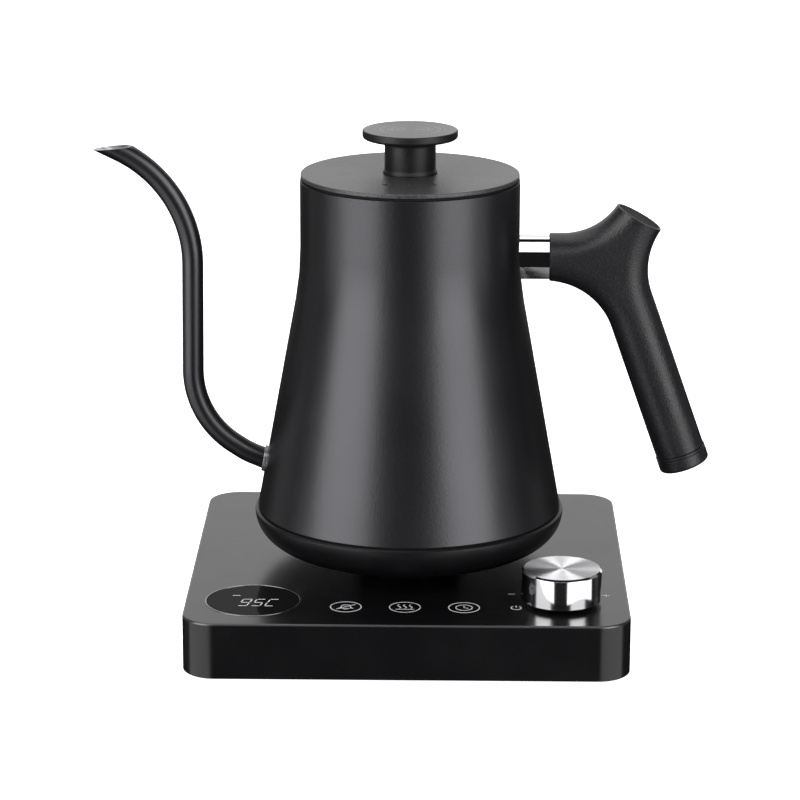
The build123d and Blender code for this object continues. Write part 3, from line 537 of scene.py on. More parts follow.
# Lit segments seen through the lens: a soft white glow.
LIT_SEGMENTS = LitInk(
    "lit_display_segments", "#c4c5c6", "#b6b7b8", 0.5, grain_mm=0.4, depth_mm=0.001, glow=0.3
)
# Seamless white paper of the floor: plain and shadowless.
FLOOR_PAPER = LitInk(
    "seamless_white_paper", "#f4f4f4", "#f1f1f1", 0.9, grain_mm=4.0, depth_mm=0.02, glow=1.2, specular=0.1
)


# ---------------------------------------------------------------- profiles and meshes


def arc_points(centre: Pair, radius: float, start: float, turn: float, steps: int) -> list[Pair]:
    """Returns points on an arc.

    Args:
        centre: Centre of the arc.
        radius: Its radius.
        start: Angle of the first point, in radians.
        turn: Signed angle that the arc covers, in radians.
        steps: Number of equal steps.

    Returns:
        One point more than there are steps.
    """
    angles = [start + turn * i / steps for i in range(steps + 1)]
    return [(centre[0] + radius * cos(angle), centre[1] + radius * sin(angle)) for angle in angles]


def rounded(corners: Sequence[Corner], closed: bool = True, step_deg: float = 9.0) -> list[Pair]:
    """Returns a polyline whose corners are rounded by tangent arcs.

    Args:
        corners: Each corner as (x, y, radius); radius 0 keeps it sharp.
        closed: Whether the last corner runs on to the first.
        step_deg: Largest turn of one facet of an arc, in degrees.

    Returns:
        The points in order.
    """
    points: list[Pair] = []
    count = len(corners)
    for i, (x, y, radius) in enumerate(corners):
        if radius <= 0 or (not closed and i in (0, count - 1)):
            points.append((x, y))
            continue
        before, after = corners[i - 1], corners[(i + 1) % count]
        into, away = (before[0] - x, before[1] - y), (after[0] - x, after[1] - y)
        into_len, away_len = hypot(*into), hypot(*away)
        into, away = (into[0] / into_len, into[1] / into_len), (away[0] / away_len, away[1] / away_len)
        opening = acos(max(-1.0, min(1.0, into[0] * away[0] + into[1] * away[1])))
        reach = radius / tan(opening / 2)
        middle = (into[0] + away[0], into[1] + away[1])
        middle_len = hypot(*middle)
        out = radius / sin(opening / 2)
        centre = (x + middle[0] / middle_len * out, y + middle[1] / middle_len * out)
        first = (x + into[0] * reach, y + into[1] * reach)
        last = (x + away[0] * reach, y + away[1] * reach)
        start = atan2(first[1] - centre[1], first[0] - centre[0])
        end = atan2(last[1] - centre[1], last[0] - centre[0])
        turn = (end - start + pi) % (2 * pi) - pi
        steps = max(2, ceil(abs(degrees(turn)) / step_deg))
        points.extend(arc_points(centre, radius, start, turn, steps))
    return points


def to_mesh(bm: bmesh.types.BMesh, name: str, place: Optional[Matrix] = None) -> bpy.types.Mesh:
    """Closes a bmesh in mm and returns it as a mesh in metres, faces pointing outwards.

    Args:
        bm: The shape; it is freed.
        name: Name of the mesh.
        place: Turn and move of the shape, still in mm.

    Returns:
        The mesh.
    """
    if place is not None:
        bmesh.ops.transform(bm, matrix=place, verts=bm.verts)
    bmesh.ops.remove_doubles(bm, verts=bm.verts, dist=TINY)
    bmesh.ops.recalc_face_normals(bm, faces=bm.faces)
    bmesh.ops.scale(bm, vec=(MM, MM, MM), verts=bm.verts)
    mesh = bpy.data.meshes.new(name)
    bm.to_mesh(mesh)
    bm.free()
    return mesh


def lathe(
    profile: Sequence[Pair], name: str, steps: int = 144, place: Optional[Matrix] = None
) -> bpy.types.Mesh:
    """Turns a closed profile about the Z axis.

    Args:
        profile: Points as (radius, height) in mm, in order; radius 0 is on the axis.
        name: Name of the mesh.
        steps: Facets round the axis.
        place: Turn and move of the result, in mm.

    Returns:
        The mesh, with a UV map that runs round the axis and along the profile.
    """
    bm = bmesh.new()
    uv = bm.loops.layers.uv.new(LATHE_UV)
    rings = []
    for radius, height in profile:
        count = 1 if radius < TINY else steps
        angles = [2 * pi * i / steps for i in range(count)]
        rings.append([bm.verts.new((radius * cos(a), radius * sin(a), height)) for a in angles])
    lengths = [0.0]
    for here, there in zip(profile, profile[1:]):
        lengths.append(lengths[-1] + hypot(there[0] - here[0], there[1] - here[1]))
    for k, low in enumerate(rings):
        high = rings[(k + 1) % len(rings)]
        if len(low) == 1 and len(high) == 1:
            continue
        for i in range(steps):
            spots = [(low, i, k), (low, i + 1, k), (high, i + 1, k + 1), (high, i, k + 1)]
            if len(low) == 1:
                spots.pop(0)
            if len(high) == 1:
                spots.pop()
            face = bm.faces.new([ring[spot % len(ring)] for ring, spot, _ in spots])
            for loop, (ring, spot, row) in zip(face.loops, spots):
                across = spot if len(ring) > 1 else i + 0.5
                loop[uv].uv = (across / steps, lengths[row % len(lengths)] / 100)
    return to_mesh(bm, name, place)


def rod(radius: float, low: float, high: float, steps: int, place: Optional[Matrix] = None) -> bpy.types.Mesh:
    """Returns a round bar from one level to another, to cut a hole with."""
    return lathe([(0, low), (radius, low), (radius, high), (0, high)], "rod", steps, place)


def loft(rings: Sequence[Sequence[Vector]], name: str) -> bpy.types.Mesh:
    """Joins rings of equally many points one after another and closes both ends with flat faces.

    Args:
        rings: Rings of points in mm, in order.
        name: Name of the mesh.

    Returns:
        The mesh.
    """
    bm = bmesh.new()
    made = [[bm.verts.new(point) for point in ring] for ring in rings]
    for low, high in zip(made, made[1:]):
        for i in range(len(low)):
            j = (i + 1) % len(low)
            bm.faces.new((low[i], low[j], high[j], high[i]))
    bm.faces.new(made[0])
    bm.faces.new(made[-1])
    return to_mesh(bm, name)


def prism(outline: Sequence[Pair], low: float, high: float, name: str) -> bpy.types.Mesh:
    """Returns an upright block with the given outline."""
    return loft([[Vector((x, y, z)) for x, y in outline] for z in (low, high)], name)


def lines_mesh(lines: Iterable[Sequence[Vector]], name: str) -> bpy.types.Mesh:
    """Returns a mesh of bare edges, one chain for each line of points in mm.

    Args:
        lines: Chains of points.
        name: Name of the mesh.

    Returns:
        The mesh.
    """
    verts: list[Vector] = []
    edges: list[tuple[int, int]] = []
    for line in lines:
        start = len(verts)
        verts.extend(Vector(p) * MM for p in line)
        edges.extend((i, i + 1) for i in range(start, len(verts) - 1))
    mesh = bpy.data.meshes.new(name)
    mesh.from_pydata(verts, edges, [])
    return mesh


def merged_copy(node: str, weld: float = 2e-6, thin: float = 1e-6) -> bpy.types.Mesh:
    """Returns a copy of a CAD node's mesh with its loose triangles joined up.

    Args:
        node: The CAD node.
        weld: Distance in metres below which two corners are one.
        thin: Width in metres below which a face is nothing.

    Returns:
        The mesh.
    """
    bm = bmesh.new()
    bm.from_mesh(frame["nodes"][node].data)
    bmesh.ops.remove_doubles(bm, verts=bm.verts, dist=weld)
    bmesh.ops.dissolve_degenerate(bm, edges=bm.edges, dist=thin)
    mesh = bpy.data.meshes.new(node + "_smooth")
    bm.to_mesh(mesh)
    bm.free()
    return mesh


def evaluated(obj: bpy.types.Object) -> bpy.types.Mesh:
    """Applies an object's modifiers, removes the object and returns the plain mesh.

    Args:
        obj: The working object.

    Returns:
        The mesh.
    """
    bpy.context.view_layer.update()
    depsgraph = bpy.context.evaluated_depsgraph_get()
    mesh = bpy.data.meshes.new_from_object(obj.evaluated_get(depsgraph))
    bpy.data.objects.remove(obj)
    return mesh


def bench_object(mesh: bpy.types.Mesh, name: str) -> bpy.types.Object:
    """Links a mesh to the scene as a working object.

    Args:
        mesh: Its mesh.
        name: Its name.

    Returns:
        The object.
    """
    obj = bpy.data.objects.new(name, mesh)
    bpy.context.scene.collection.objects.link(obj)
    return obj


def cut(mesh: bpy.types.Mesh, *cutters: bpy.types.Mesh) -> bpy.types.Mesh:
    """Takes the cutters away from a mesh and returns what is left.

    Args:
        mesh: The mesh; it is used up.
        *cutters: Closed meshes; they are used up.

    Returns:
        What is left.
    """
    work = bench_object(mesh, "work")
    tools = []
    for cutter in cutters:
        tool = bench_object(cutter, "cutter")
        tools.append(tool)
        step = work.modifiers.new("cut", "BOOLEAN")
        step.operation = "DIFFERENCE"
        step.solver = "EXACT"
        step.object = tool
    result = evaluated(work)
    for tool in tools:
        bpy.data.objects.remove(tool)
    return result


def halve(bm: bmesh.types.BMesh, spot: Vector, outward: Vector, near: float) -> None:
    """Cuts a shape along a plane and takes away what lies outside.

    Args:
        bm: The shape.
        spot: A point of the plane.
        outward: The plane's normal, towards what goes.
        near: How near to the plane a corner counts as on it.
    """
    everything = [*bm.verts, *bm.edges, *bm.faces]
    bmesh.ops.bisect_plane(bm, geom=everything, plane_co=spot, plane_no=outward, clear_outer=True, dist=near)


def coated(mesh: bpy.types.Mesh, finish: Finish) -> None:
    """Gives a mesh one finish all over.

    Args:
        mesh: The mesh.
        finish: Its finish.
    """
    mesh.materials.clear()
    mesh.materials.append(finish.material())
    for face in mesh.polygons:
        face.material_index = 0


def reface(mesh: bpy.types.Mesh, finish: Finish, belongs: Callable[[Vector, Vector], bool]) -> None:
    """Gives some faces a second finish.

    Args:
        mesh: The mesh, which already has its main material.
        finish: The finish of the chosen faces.
        belongs: Says from a face's centre (mm) and normal whether it is chosen.
    """
    mesh.materials.append(finish.material())
    slot = len(mesh.materials) - 1
    for face in mesh.polygons:
        if belongs(face.center / MM, face.normal):
            face.material_index = slot


# ---------------------------------------------------------------- geometry node trees


class GrownTree(NodeWork):
    """A Geometry Nodes tree with named inputs that ends in Realize Instances and Set Material."""

    def __init__(self, name: str, **sockets: str) -> None:
        """Starts the tree.

        Args:
            name: Name of the tree.
            **sockets: Kinds of the inputs after Geometry and Finish, by name with _ for each space.
        """
        super().__init__(bpy.data.node_groups.new(name, "GeometryNodeTree"))
        interface = self.tree.interface
        for title, kind in {"Geometry": "Geometry", "Finish": "Material", **sockets}.items():
            interface.new_socket(title.replace("_", " "), in_out="INPUT", socket_type=f"NodeSocket{kind}")
        interface.new_socket("Geometry", in_out="OUTPUT", socket_type="NodeSocketGeometry")
        self.inputs = self.add("NodeGroupInput", {}).outputs

    def end(self, geometry: bpy.types.NodeSocket) -> None:
        """Closes the tree with the two last nodes.

        Args:
            geometry: What the tree has made.
        """
        real = self.add("GeometryNodeRealizeInstances", {"Geometry": geometry})
        finish = {"Geometry": real.outputs[0], "Material": self.inputs["Finish"]}
        self.add("NodeGroupOutput", {0: self.add("GeometryNodeSetMaterial", finish).outputs[0]})

    def grow(self, start: bpy.types.Mesh, finish: Finish, **values: Any) -> bpy.types.Mesh:
        """Runs the tree on a mesh.

        Args:
            start: What the tree works on.
            finish: The finish of the result.
            **values: Inputs by name, with _ for each space.

        Returns:
            The result as a plain mesh.
        """
        work = bench_object(start, "work")
        step = work.modifiers.new("grow", "NODES")
        step.node_group = self.tree
        wanted = {key.replace("_", " "): value for key, value in values.items()}
        wanted["Finish"] = finish.material()
        for socket in self.tree.interface.items_tree:
            if socket.in_out == "INPUT" and socket.name in wanted:
                step[socket.identifier] = wanted[socket.name]
        return evaluated(work)


def bent_tube_tree() -> GrownTree:
    """Tube along a route of corners; each corner's own "bend" is the radius of its arc.

    Returns:
        The tree.
    """
    recipe = GrownTree(
        "bent_tube", Outer_Radius="Float", Inner_Radius="Float", Around="Int", Bend_Steps="Int"
    )
    route = recipe.add("GeometryNodeMeshToCurve", {"Mesh": recipe.inputs["Geometry"]})
    bend = recipe.add("GeometryNodeInputNamedAttribute", {"Name": "bend"}, data_type="FLOAT")
    corners = {
        "Curve": route.outputs[0],
        "Count": recipe.inputs["Bend Steps"],
        "Radius": bend.outputs["Attribute"],
        "Limit Radius": False,
    }
    smooth = recipe.add("GeometryNodeFilletCurve", corners, mode="POLY")
    walls = []
    for title in ("Outer Radius", "Inner Radius"):
        size = {"Resolution": recipe.inputs["Around"], "Radius": recipe.inputs[title]}
        ring = recipe.add("GeometryNodeCurvePrimitiveCircle", size)
        sweep = {"Curve": smooth.outputs[0], "Profile Curve": ring.outputs[0]}
        walls.append(recipe.add("GeometryNodeCurveToMesh", sweep).outputs[0])
    inner = recipe.add("GeometryNodeFlipFaces", {"Mesh": walls[1]})
    both = recipe.add("GeometryNodeJoinGeometry", {0: walls[0]})
    recipe.tree.links.new(inner.outputs[0], both.inputs[0])
    recipe.end(both.outputs[0])
    return recipe


def repeat_tree() -> GrownTree:
    """One piece repeated at points; each point's own "turn" is its angle about Z.

    Returns:
        The tree.
    """
    recipe = GrownTree("repeat_at_points", Piece="Object", Slant="Float")
    piece = recipe.add("GeometryNodeObjectInfo", {"Object": recipe.inputs["Piece"]})
    turn = recipe.add("GeometryNodeInputNamedAttribute", {"Name": "turn"}, data_type="FLOAT")
    about_z = recipe.add("ShaderNodeCombineXYZ", {"Z": turn.outputs["Attribute"]})
    copies = {
        "Points": recipe.inputs["Geometry"],
        "Instance": piece.outputs["Geometry"],
        "Rotation": about_z.outputs[0],
    }
    placed = recipe.add("GeometryNodeInstanceOnPoints", copies)
    real = recipe.add("GeometryNodeRealizeInstances", {"Geometry": placed.outputs[0]})
    where = recipe.add("GeometryNodeInputPosition", {})
    parts = recipe.add("ShaderNodeSeparateXYZ", {0: where.outputs[0]})
    slope = {0: parts.outputs["Y"], 1: recipe.inputs["Slant"]}
    lean = recipe.add("ShaderNodeMath", slope, operation="MULTIPLY")
    shift = recipe.add("ShaderNodeCombineXYZ", {"X": lean.outputs[0]})
    leaning = {"Geometry": real.outputs[0], "Offset": shift.outputs[0]}
    recipe.end(recipe.add("GeometryNodeSetPosition", leaning).outputs[0])
    return recipe


def printed_line_tree() -> GrownTree:
    """Flat printed lines along bare edges.

    Returns:
        The tree.
    """
    recipe = GrownTree("printed_lines", Line_Width="Float", Thickness="Float")
    lines = recipe.add("GeometryNodeMeshToCurve", {"Mesh": recipe.inputs["Geometry"]})
    flat = recipe.add("GeometryNodeSetCurveNormal", {"Curve": lines.outputs[0]}, mode="Z_UP")
    size = {"Width": recipe.inputs["Line Width"], "Height": recipe.inputs["Thickness"]}
    section = recipe.add("GeometryNodeCurvePrimitiveQuadrilateral", size, mode="RECTANGLE")
    sweep = {"Curve": flat.outputs[0], "Profile Curve": section.outputs[0], "Fill Caps": True}
    recipe.end(recipe.add("GeometryNodeCurveToMesh", sweep).outputs[0])
    return recipe


def points_mesh(spots: Sequence[Corner], turns: Sequence[float], name: str) -> bpy.types.Mesh:
    """Returns loose points in mm, each with its angle "turn" in radians.

    Args:
        spots: The points.
        turns: One angle for each.
        name: Name of the mesh.

    Returns:
        The mesh.
    """
    mesh = bpy.data.meshes.new(name)
    mesh.from_pydata([Vector(spot) * MM for spot in spots], [], [])
    mesh.attributes.new("turn", "FLOAT", "POINT").data.foreach_set("value", turns)
    return mesh


# ---------------------------------------------------------------- workshop


class Workshop:
    """Places finished pieces on the frame and keeps the shared Geometry Nodes trees."""

    def __init__(self) -> None:
        """Builds the trees and reads which slot each node has."""
        self.tube = bent_tube_tree()
        self.repeat = repeat_tree()
        self.print_lines = printed_line_tree()
        self.slots = {part["node"]: part["material_slot"] for part in frame["record"]["subparts"]}

    def place(
        self,
        mesh: bpy.types.Mesh,
        name: str,
        finish: Finish,
        body: Body,
        stands_for: Sequence[str] = (),
        slot: str = "",
        crease: float = 32.0,
        bevel_mm: float = 0.0,
    ) -> bpy.types.Object:
        """Makes a mesh into a finished piece of the object.

        Args:
            mesh: Its mesh, in metres, in place.
            name: Name of the piece.
            finish: Its finish; a mesh that has it already keeps its second one too.
            body: The body that it rides on.
            stands_for: CAD nodes that it replaces.
            slot: Material slot, where it isn't that of the first replaced node; not used.
            crease: Edges that turn by more degrees than this stay sharp.
            bevel_mm: Width of a small round on the sharp edges.

        Returns:
            The piece.
        """
        mesh.name = name
        if not mesh.materials or mesh.materials[0] != finish.material():
            coated(mesh, finish)
        mesh.shade_smooth()
        mesh.set_sharp_from_angle(angle=radians(crease))
        piece = bench_object(mesh, name)
        if bevel_mm:
            bevel = piece.modifiers.new("edge_round", "BEVEL")
            bevel.width = bevel_mm * MM
            bevel.segments = 3
            bevel.limit_method = "ANGLE"
            bevel.angle_limit = radians(crease)
            bevel.harden_normals = True
        else:
            weigh = piece.modifiers.new("flat_faces_stay_flat", "WEIGHTED_NORMAL")
            weigh.keep_sharp = True
        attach(piece, body.value)
        if stands_for:
            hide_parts(*stands_for)
        log.info("%s: %d faces on %s", name, len(mesh.polygons), body.value)
        return piece

    def repeated(
        self,
        piece: bpy.types.Mesh,
        spots: Sequence[Corner],
        finish: Finish,
        name: str,
        turns: Sequence[float] = (),
        slant: float = 0.0,
    ) -> bpy.types.Mesh:
        """Repeats a piece at given spots, as one mesh.

        Args:
            piece: The piece, in metres, about the origin.
            spots: Where the copies go, in mm.
            finish: The finish of the copies.
            name: Name of the mesh.
            turns: Angle of each copy about Z, in radians; none where all stand the same way.
            slant: How far the result leans to the right for each unit of its depth.

        Returns:
            The mesh.
        """
        model = bench_object(piece, name + "_model")
        points = points_mesh(spots, turns or [0.0] * len(spots), name)
        mesh = self.repeat.grow(points, finish, Piece=model, Slant=slant)
        bpy.data.objects.remove(model)
        return mesh

    def dress(self, finish: Finish, *nodes: str) -> None:
        """Gives CAD nodes that stay a finish.

        Args:
            finish: The finish.
            *nodes: Names of the nodes.
        """
        for node in nodes:
            obj = frame["nodes"][node]
            if not obj.material_slots:
                obj.data.materials.append(finish.material())
            for material_slot in obj.material_slots:
                material_slot.material = finish.material()
            log.info("%s: CAD shape in %s", node, finish.name)


# ---------------------------------------------------------------- base unit


@dataclass
class BaseUnit:
    """Square casing with its feet, screws, connector and cord inlet."""

    shop: Workshop
    side: float = 200.0
    corner: float = 15.0
    wall: float = 2.4
    edge: float = 1.0
    edge_steps: int = 7
    low_edge: float = 0.4
    display_r: float = 21.7
    display_seat: float = 1.5
    coupler_hole_r: float = 24.0
    encoder_hole_r: float = 3.7
    through: float = 5.0
    grommet_hole_r: float = 6.2
    inlet_r: float = 3.6
    flange_t: float = 3.0
    foot_r: float = 7.9
    screw_r: float = 3.1
    screw_h: float = 1.5
    shank_r: float = 1.5
    recess: Pair = (2.0, 0.5)
    recess_h: float = 0.8
    collar_top: float = 32.6
    tower_top: float = 43.4
    contact_floor: float = 30.0

    def build(self) -> None:
        """Builds and places everything of the base except its controls."""
        place = self.shop.place
        place(self.casing(), "casing", CASING_COAT, Body.BASE, ["base_cover"], crease=25.0)
        place(self.feet(), "rubber_feet", SILICONE, Body.BASE, ["feet"])
        place(self.screws(), "bottom_screws", PLATED_STEEL, Body.BASE, ["casing_screws"])
        place(self.grommet(), "cord_grommet", SILICONE, Body.BASE, ["inlet_grommet"])
        place(self.coupler(), "coupler_tower", SKIRT_MOULDING, Body.BASE, ["coupler_plug"])

    def outline(self, inset: float, height: float) -> list[Vector]:
        """Returns the casing's rounded square, moved in by inset, at a height.

        Args:
            inset: Distance from the casing's side.
            height: Level of the outline.

        Returns:
            Its points in mm.
        """
        half, radius = self.side / 2 - inset, self.corner - inset
        corners = [(half, half, radius), (-half, half, radius), (-half, -half, radius), (half, -half, radius)]
        return [Vector((x, y, height)) for x, y in rounded(corners, step_deg=4.5)]

    def casing(self) -> bpy.types.Mesh:
        """Returns the drawn shell with its holes.

        Returns:
            The mesh.
        """
        cover = Extent.of("base_cover")
        top, low = cover.top, cover.bottom
        rings = [
            self.outline(self.wall, top - self.wall),
            self.outline(self.wall, low),
            self.outline(self.low_edge, low),
            self.outline(0.0, low + self.low_edge),
        ]
        for x, z in arc_points((self.edge, top - self.edge), self.edge, pi, -pi / 2, self.edge_steps):
            rings.append(self.outline(x, z))
        inlet_x, _, inlet_z = Extent.of("inlet_grommet").centre
        rear = Matrix.Translation((inlet_x, self.side / 2, inlet_z)) @ BACKWARDS
        lens, nut = Extent.of("display_lens").axis, Extent.of("encoder_nut").axis
        shell = cut(
            loft(rings, "casing"),
            rod(self.display_r, top - self.display_seat, top + PAST, 96, lens),
            rod(self.coupler_hole_r, top - self.through, top + PAST, 96),
            rod(self.encoder_hole_r, top - self.through, top + PAST, 96, nut),
            rod(self.grommet_hole_r, -2 * self.flange_t, 2 * self.flange_t, 48, rear),
        )
        coated(shell, CASING_COAT)
        # the rolled top edge gets the brighter enamel: a painted highlight along the edge
        reface(shell, PAINTED_HIGHLIGHT_EDGE_COAT, lambda at, normal: at.z > top - self.edge and 0.1 < normal.z < 0.99)
        return shell

    @staticmethod
    def in_corners(box: Extent, radius: float, height: float) -> list[Corner]:
        """Returns the spots of four round pieces that fill the corners of a box about the origin."""
        x, y = box.right - radius, box.back - radius
        return [(i * x, j * y, height) for i in (-1, 1) for j in (-1, 1)]

    def feet(self) -> bpy.types.Mesh:
        """Returns the four rubber feet, each with a groove in its sole.

        Returns:
            The mesh.
        """
        box, r = Extent.of("feet"), self.foot_r
        height = box.top - box.bottom
        profile = rounded(
            [
                (0, 0, 0), (r - 3.4, 0, 0.2), (r - 3.1, 0.5, 0.15), (r - 2.3, 0.5, 0.15), (r - 2.0, 0, 0.2),
                (r, 0, 0.6), (r, height, 0.2), (0, height, 0),
            ]
        )
        return self.shop.repeated(lathe(profile, "foot", 40), self.in_corners(box, r, 0), SILICONE, "feet")

    def screws(self) -> bpy.types.Mesh:
        """Returns the bottom screws, heads down, each with a cross recess.

        Returns:
            The mesh.
        """
        box, head, shank, seat = Extent.of("casing_screws"), self.screw_r, self.shank_r, self.screw_h
        tip = box.top - box.bottom
        profile = rounded(
            [
                (0, 0, 0), (head, 0, 0.7), (head, seat, 0.1), (shank, seat, 0), (shank, tip - shank, 0),
                (0, tip, 0),
            ]
        )
        long, short = self.recess
        slots = []
        for across, along in ((short, long), (long, short)):
            ring = [(across, along), (-across, along), (-across, -along), (across, -along)]
            slots.append(prism(ring, -PAST, self.recess_h, "recess"))
        screw = cut(lathe(profile, "screw", 32), *slots)
        return self.shop.repeated(screw, self.in_corners(box, head, box.bottom), PLATED_STEEL, "screws")

    def grommet(self) -> bpy.types.Mesh:
        """Returns the cord grommet in the rear wall, its bore along Y.

        Returns:
            The mesh.
        """
        box, bore, neck = Extent.of("inlet_grommet"), self.inlet_r, self.grommet_hole_r
        flange, inner, length = box.radius, self.flange_t, box.back - box.front
        profile = rounded(
            [
                (bore, 0, 0.4), (flange, 0, 0.3), (flange, inner, 0), (neck, inner, 0),
                (neck, length - 1.0, 0), (flange, length - 1.0, 0.2), (flange, length, 0.6),
                (bore + 1.2, length, 0.3), (bore, length - 0.8, 0.3),
            ]
        )
        place = Matrix.Translation((box.centre[0], box.front, box.centre[2]))
        return lathe(profile, "grommet", 64, place @ BACKWARDS)

    def coupler(self) -> bpy.types.Mesh:
        """Returns the raised connector: collar, tower, ring groove and centre bore.

        Returns:
            The mesh.
        """
        rim, top, floor = self.collar_top, self.tower_top, self.contact_floor
        profile = rounded(
            [
                (2.7, 26.0, 0), (0, 26.0, 0), (0, 20.0, 0), (27.0, 20.0, 0.3), (27.0, 25.0, 0),
                (23.9, 25.0, 0), (23.9, rim, 1.0), (19.6, rim, 0.3), (19.2, rim - 0.8, 0.3),
                (16.2, rim - 0.8, 0.3), (15.4, rim, 0), (15.4, top, 1.2), (10.2, top, 0.5),
                (10.2, floor, 0), (7.8, floor, 0), (7.8, top, 0.5), (2.7, top, 0.6),
            ]
        )
        return lathe(profile, "coupler", 120)


@dataclass
class ControlPanel:
    """Display, printed keys and marks, all level with the plate."""

    shop: Workshop
    ink: float = 0.05
    line: float = 0.4
    key_ring_r: float = 6.9
    lens_gap: float = 0.7
    digit_w: float = 3.9
    digit_h: float = 9.0
    digit_pitch: float = 6.0
    segment_w: float = 0.5
    segment_gap: float = 0.25
    bar_spot: Pair = (-12.8, 9.6)
    slant: float = 0.25
    reading: str = "95C"
    power_spot: Pair = (-20.5, -8.0)
    minus_spot: Pair = (-22.2, 11.0)
    plus_spot: Pair = (20.6, 10.0)

    SEGMENTS = {"9": "abcdfg", "5": "acdfg", "C": "adef"}

    def build(self) -> None:
        """Builds and places the lens, its ring, the reading and all print."""
        self.plate = Extent.of("base_cover").top
        shift = Extent.of("display_lens").axis
        bezel = Extent.of("display_bezel")
        outer, seat, rim = bezel.radius, bezel.bottom, bezel.top
        inner = outer - self.lens_gap
        lens = rounded([(0, seat, 0), (inner, seat, 0), (inner, self.plate, 0.25), (0, self.plate, 0)])
        ring = rounded([(inner, seat, 0), (outer, seat, 0), (outer, rim, 0.12), (inner, rim, 0.2)])
        place = self.shop.place
        place(lathe(lens, "lens", 160, shift), "display_window", SMOKED_LENS, Body.BASE, ["display_lens"])
        place(lathe(ring, "ring", 160, shift), "display_ring", TRIM_RING, Body.BASE, ["display_bezel"])
        place(self.digits(), "display_reading", LIT_SEGMENTS, Body.BASE, slot="display_gloss")
        # the printed marks carry a painted glow
        place(self.marks(), "printed_marks", PAD_PRINT_WITH_PAINTED_GLOW, Body.BASE, slot="display_gloss")

    def bar(self, length: float, width: float) -> bpy.types.Mesh:
        """Returns one segment: a flat bar with pointed ends, along X.

        Args:
            length: From point to point.
            width: Across.

        Returns:
            The mesh.
        """
        half, side = length / 2, width / 2
        inner = half - side
        ring = [(half, 0), (inner, side), (-inner, side), (-half, 0), (-inner, -side), (inner, -side)]
        return prism(ring, 0.0, self.ink, "segment")

    def digits(self) -> bpy.types.Mesh:
        """Returns the reading as leaning seven-segment figures and the small bar above it.

        Returns:
            The mesh.
        """
        middle_x, middle_y, _ = Extent.of("digit_block").centre
        w, h = self.digit_w, self.digit_h
        places = {
            "a": (0, h / 2, 0), "g": (0, 0, 0), "d": (0, -h / 2, 0), "b": (w / 2, h / 4, 1),
            "c": (w / 2, -h / 4, 1), "f": (-w / 2, h / 4, 1), "e": (-w / 2, -h / 4, 1),
        }
        spots: list[Corner] = []
        turns: list[float] = []
        for index, figure in enumerate(self.reading):
            for name in self.SEGMENTS[figure]:
                x, y, upright = places[name]
                spots.append(((index - 1) * self.digit_pitch + x, y, 0))
                turns.append(upright * pi / 2)
        spots.append((*self.bar_spot, 0))
        turns.append(0.0)
        segment = self.bar(w - self.segment_gap, self.segment_w)
        mesh = self.shop.repeated(segment, spots, LIT_SEGMENTS, "reading", turns, self.slant)
        mesh.transform(Matrix.Translation(Vector((middle_x, middle_y, self.plate)) * MM))
        return mesh

    def marks(self) -> bpy.types.Mesh:
        """Returns all print on the plate: key rings, their signs, power, minus and plus.

        Returns:
            The mesh.
        """
        springs = Extent.of("touch_springs")
        radius = (springs.back - springs.front) / 2
        middle_x, keys_y, _ = springs.centre
        key_ring = arc_points((0, 0), self.key_ring_r, 0, 2 * pi, 48)
        power = [arc_points((0, 0), 2.3, radians(125), radians(290), 24), [(0, 0.6), (0, 2.9)]]
        dial_x, dial_y, _ = Extent.of("dial_cap").centre
        groups = [
            (springs.left + radius, keys_y, [key_ring, *self.bell()]),
            (middle_x, keys_y, [key_ring, *self.waves()]),
            (springs.right - radius, keys_y, [key_ring, *self.clock()]),
        ]
        for (x, y), strokes in (
            (self.power_spot, power),
            (self.minus_spot, [[(-1.6, 0), (1.6, 0)]]),
            (self.plus_spot, [[(-1.5, 0), (1.5, 0)], [(0, -1.5), (0, 1.5)]]),
        ):
            groups.append((dial_x + x, dial_y + y, strokes))
        lines = [
            [Vector((x + px, y + py, self.plate)) for px, py in stroke]
            for x, y, strokes in groups
            for stroke in strokes
        ]
        return self.shop.print_lines.grow(
            lines_mesh(lines, "print"), PAD_PRINT_WITH_PAINTED_GLOW, Line_Width=self.line * MM, Thickness=2 * self.ink * MM
        )

    @staticmethod
    def bell() -> list[list[Pair]]:
        """Returns a bell with a line through it, for the silent key.

        Returns:
            Its strokes about the key's middle.
        """
        corners = [(-3.4, -2.0, 0), (-2.2, -1.0, 0.6), (-1.9, 2.6, 1.7)]
        corners += [(-x, y, radius) for x, y, radius in reversed(corners)]
        outline = rounded(corners, closed=False)
        return [outline + [outline[0]], arc_points((0, -2.2), 0.9, pi, pi, 8), [(-4.2, -3.0), (4.2, 3.4)]]

    @staticmethod
    def waves() -> list[list[Pair]]:
        """Returns three rising waves over a line, for the keep-warm key."""
        waves = [[(x + 0.7 * sin(i * pi / 4), -1.4 + 0.6 * i) for i in range(9)] for x in (-2.6, 0.0, 2.6)]
        return waves + [[(-4.2, -2.8), (4.2, -2.8)]]

    @staticmethod
    def clock() -> list[list[Pair]]:
        """Returns a clock face, for the timer key."""
        return [arc_points((0, 0), 3.7, 0, 2 * pi, 32), [(0, 2.4), (0, 0), (1.9, -0.9)]]


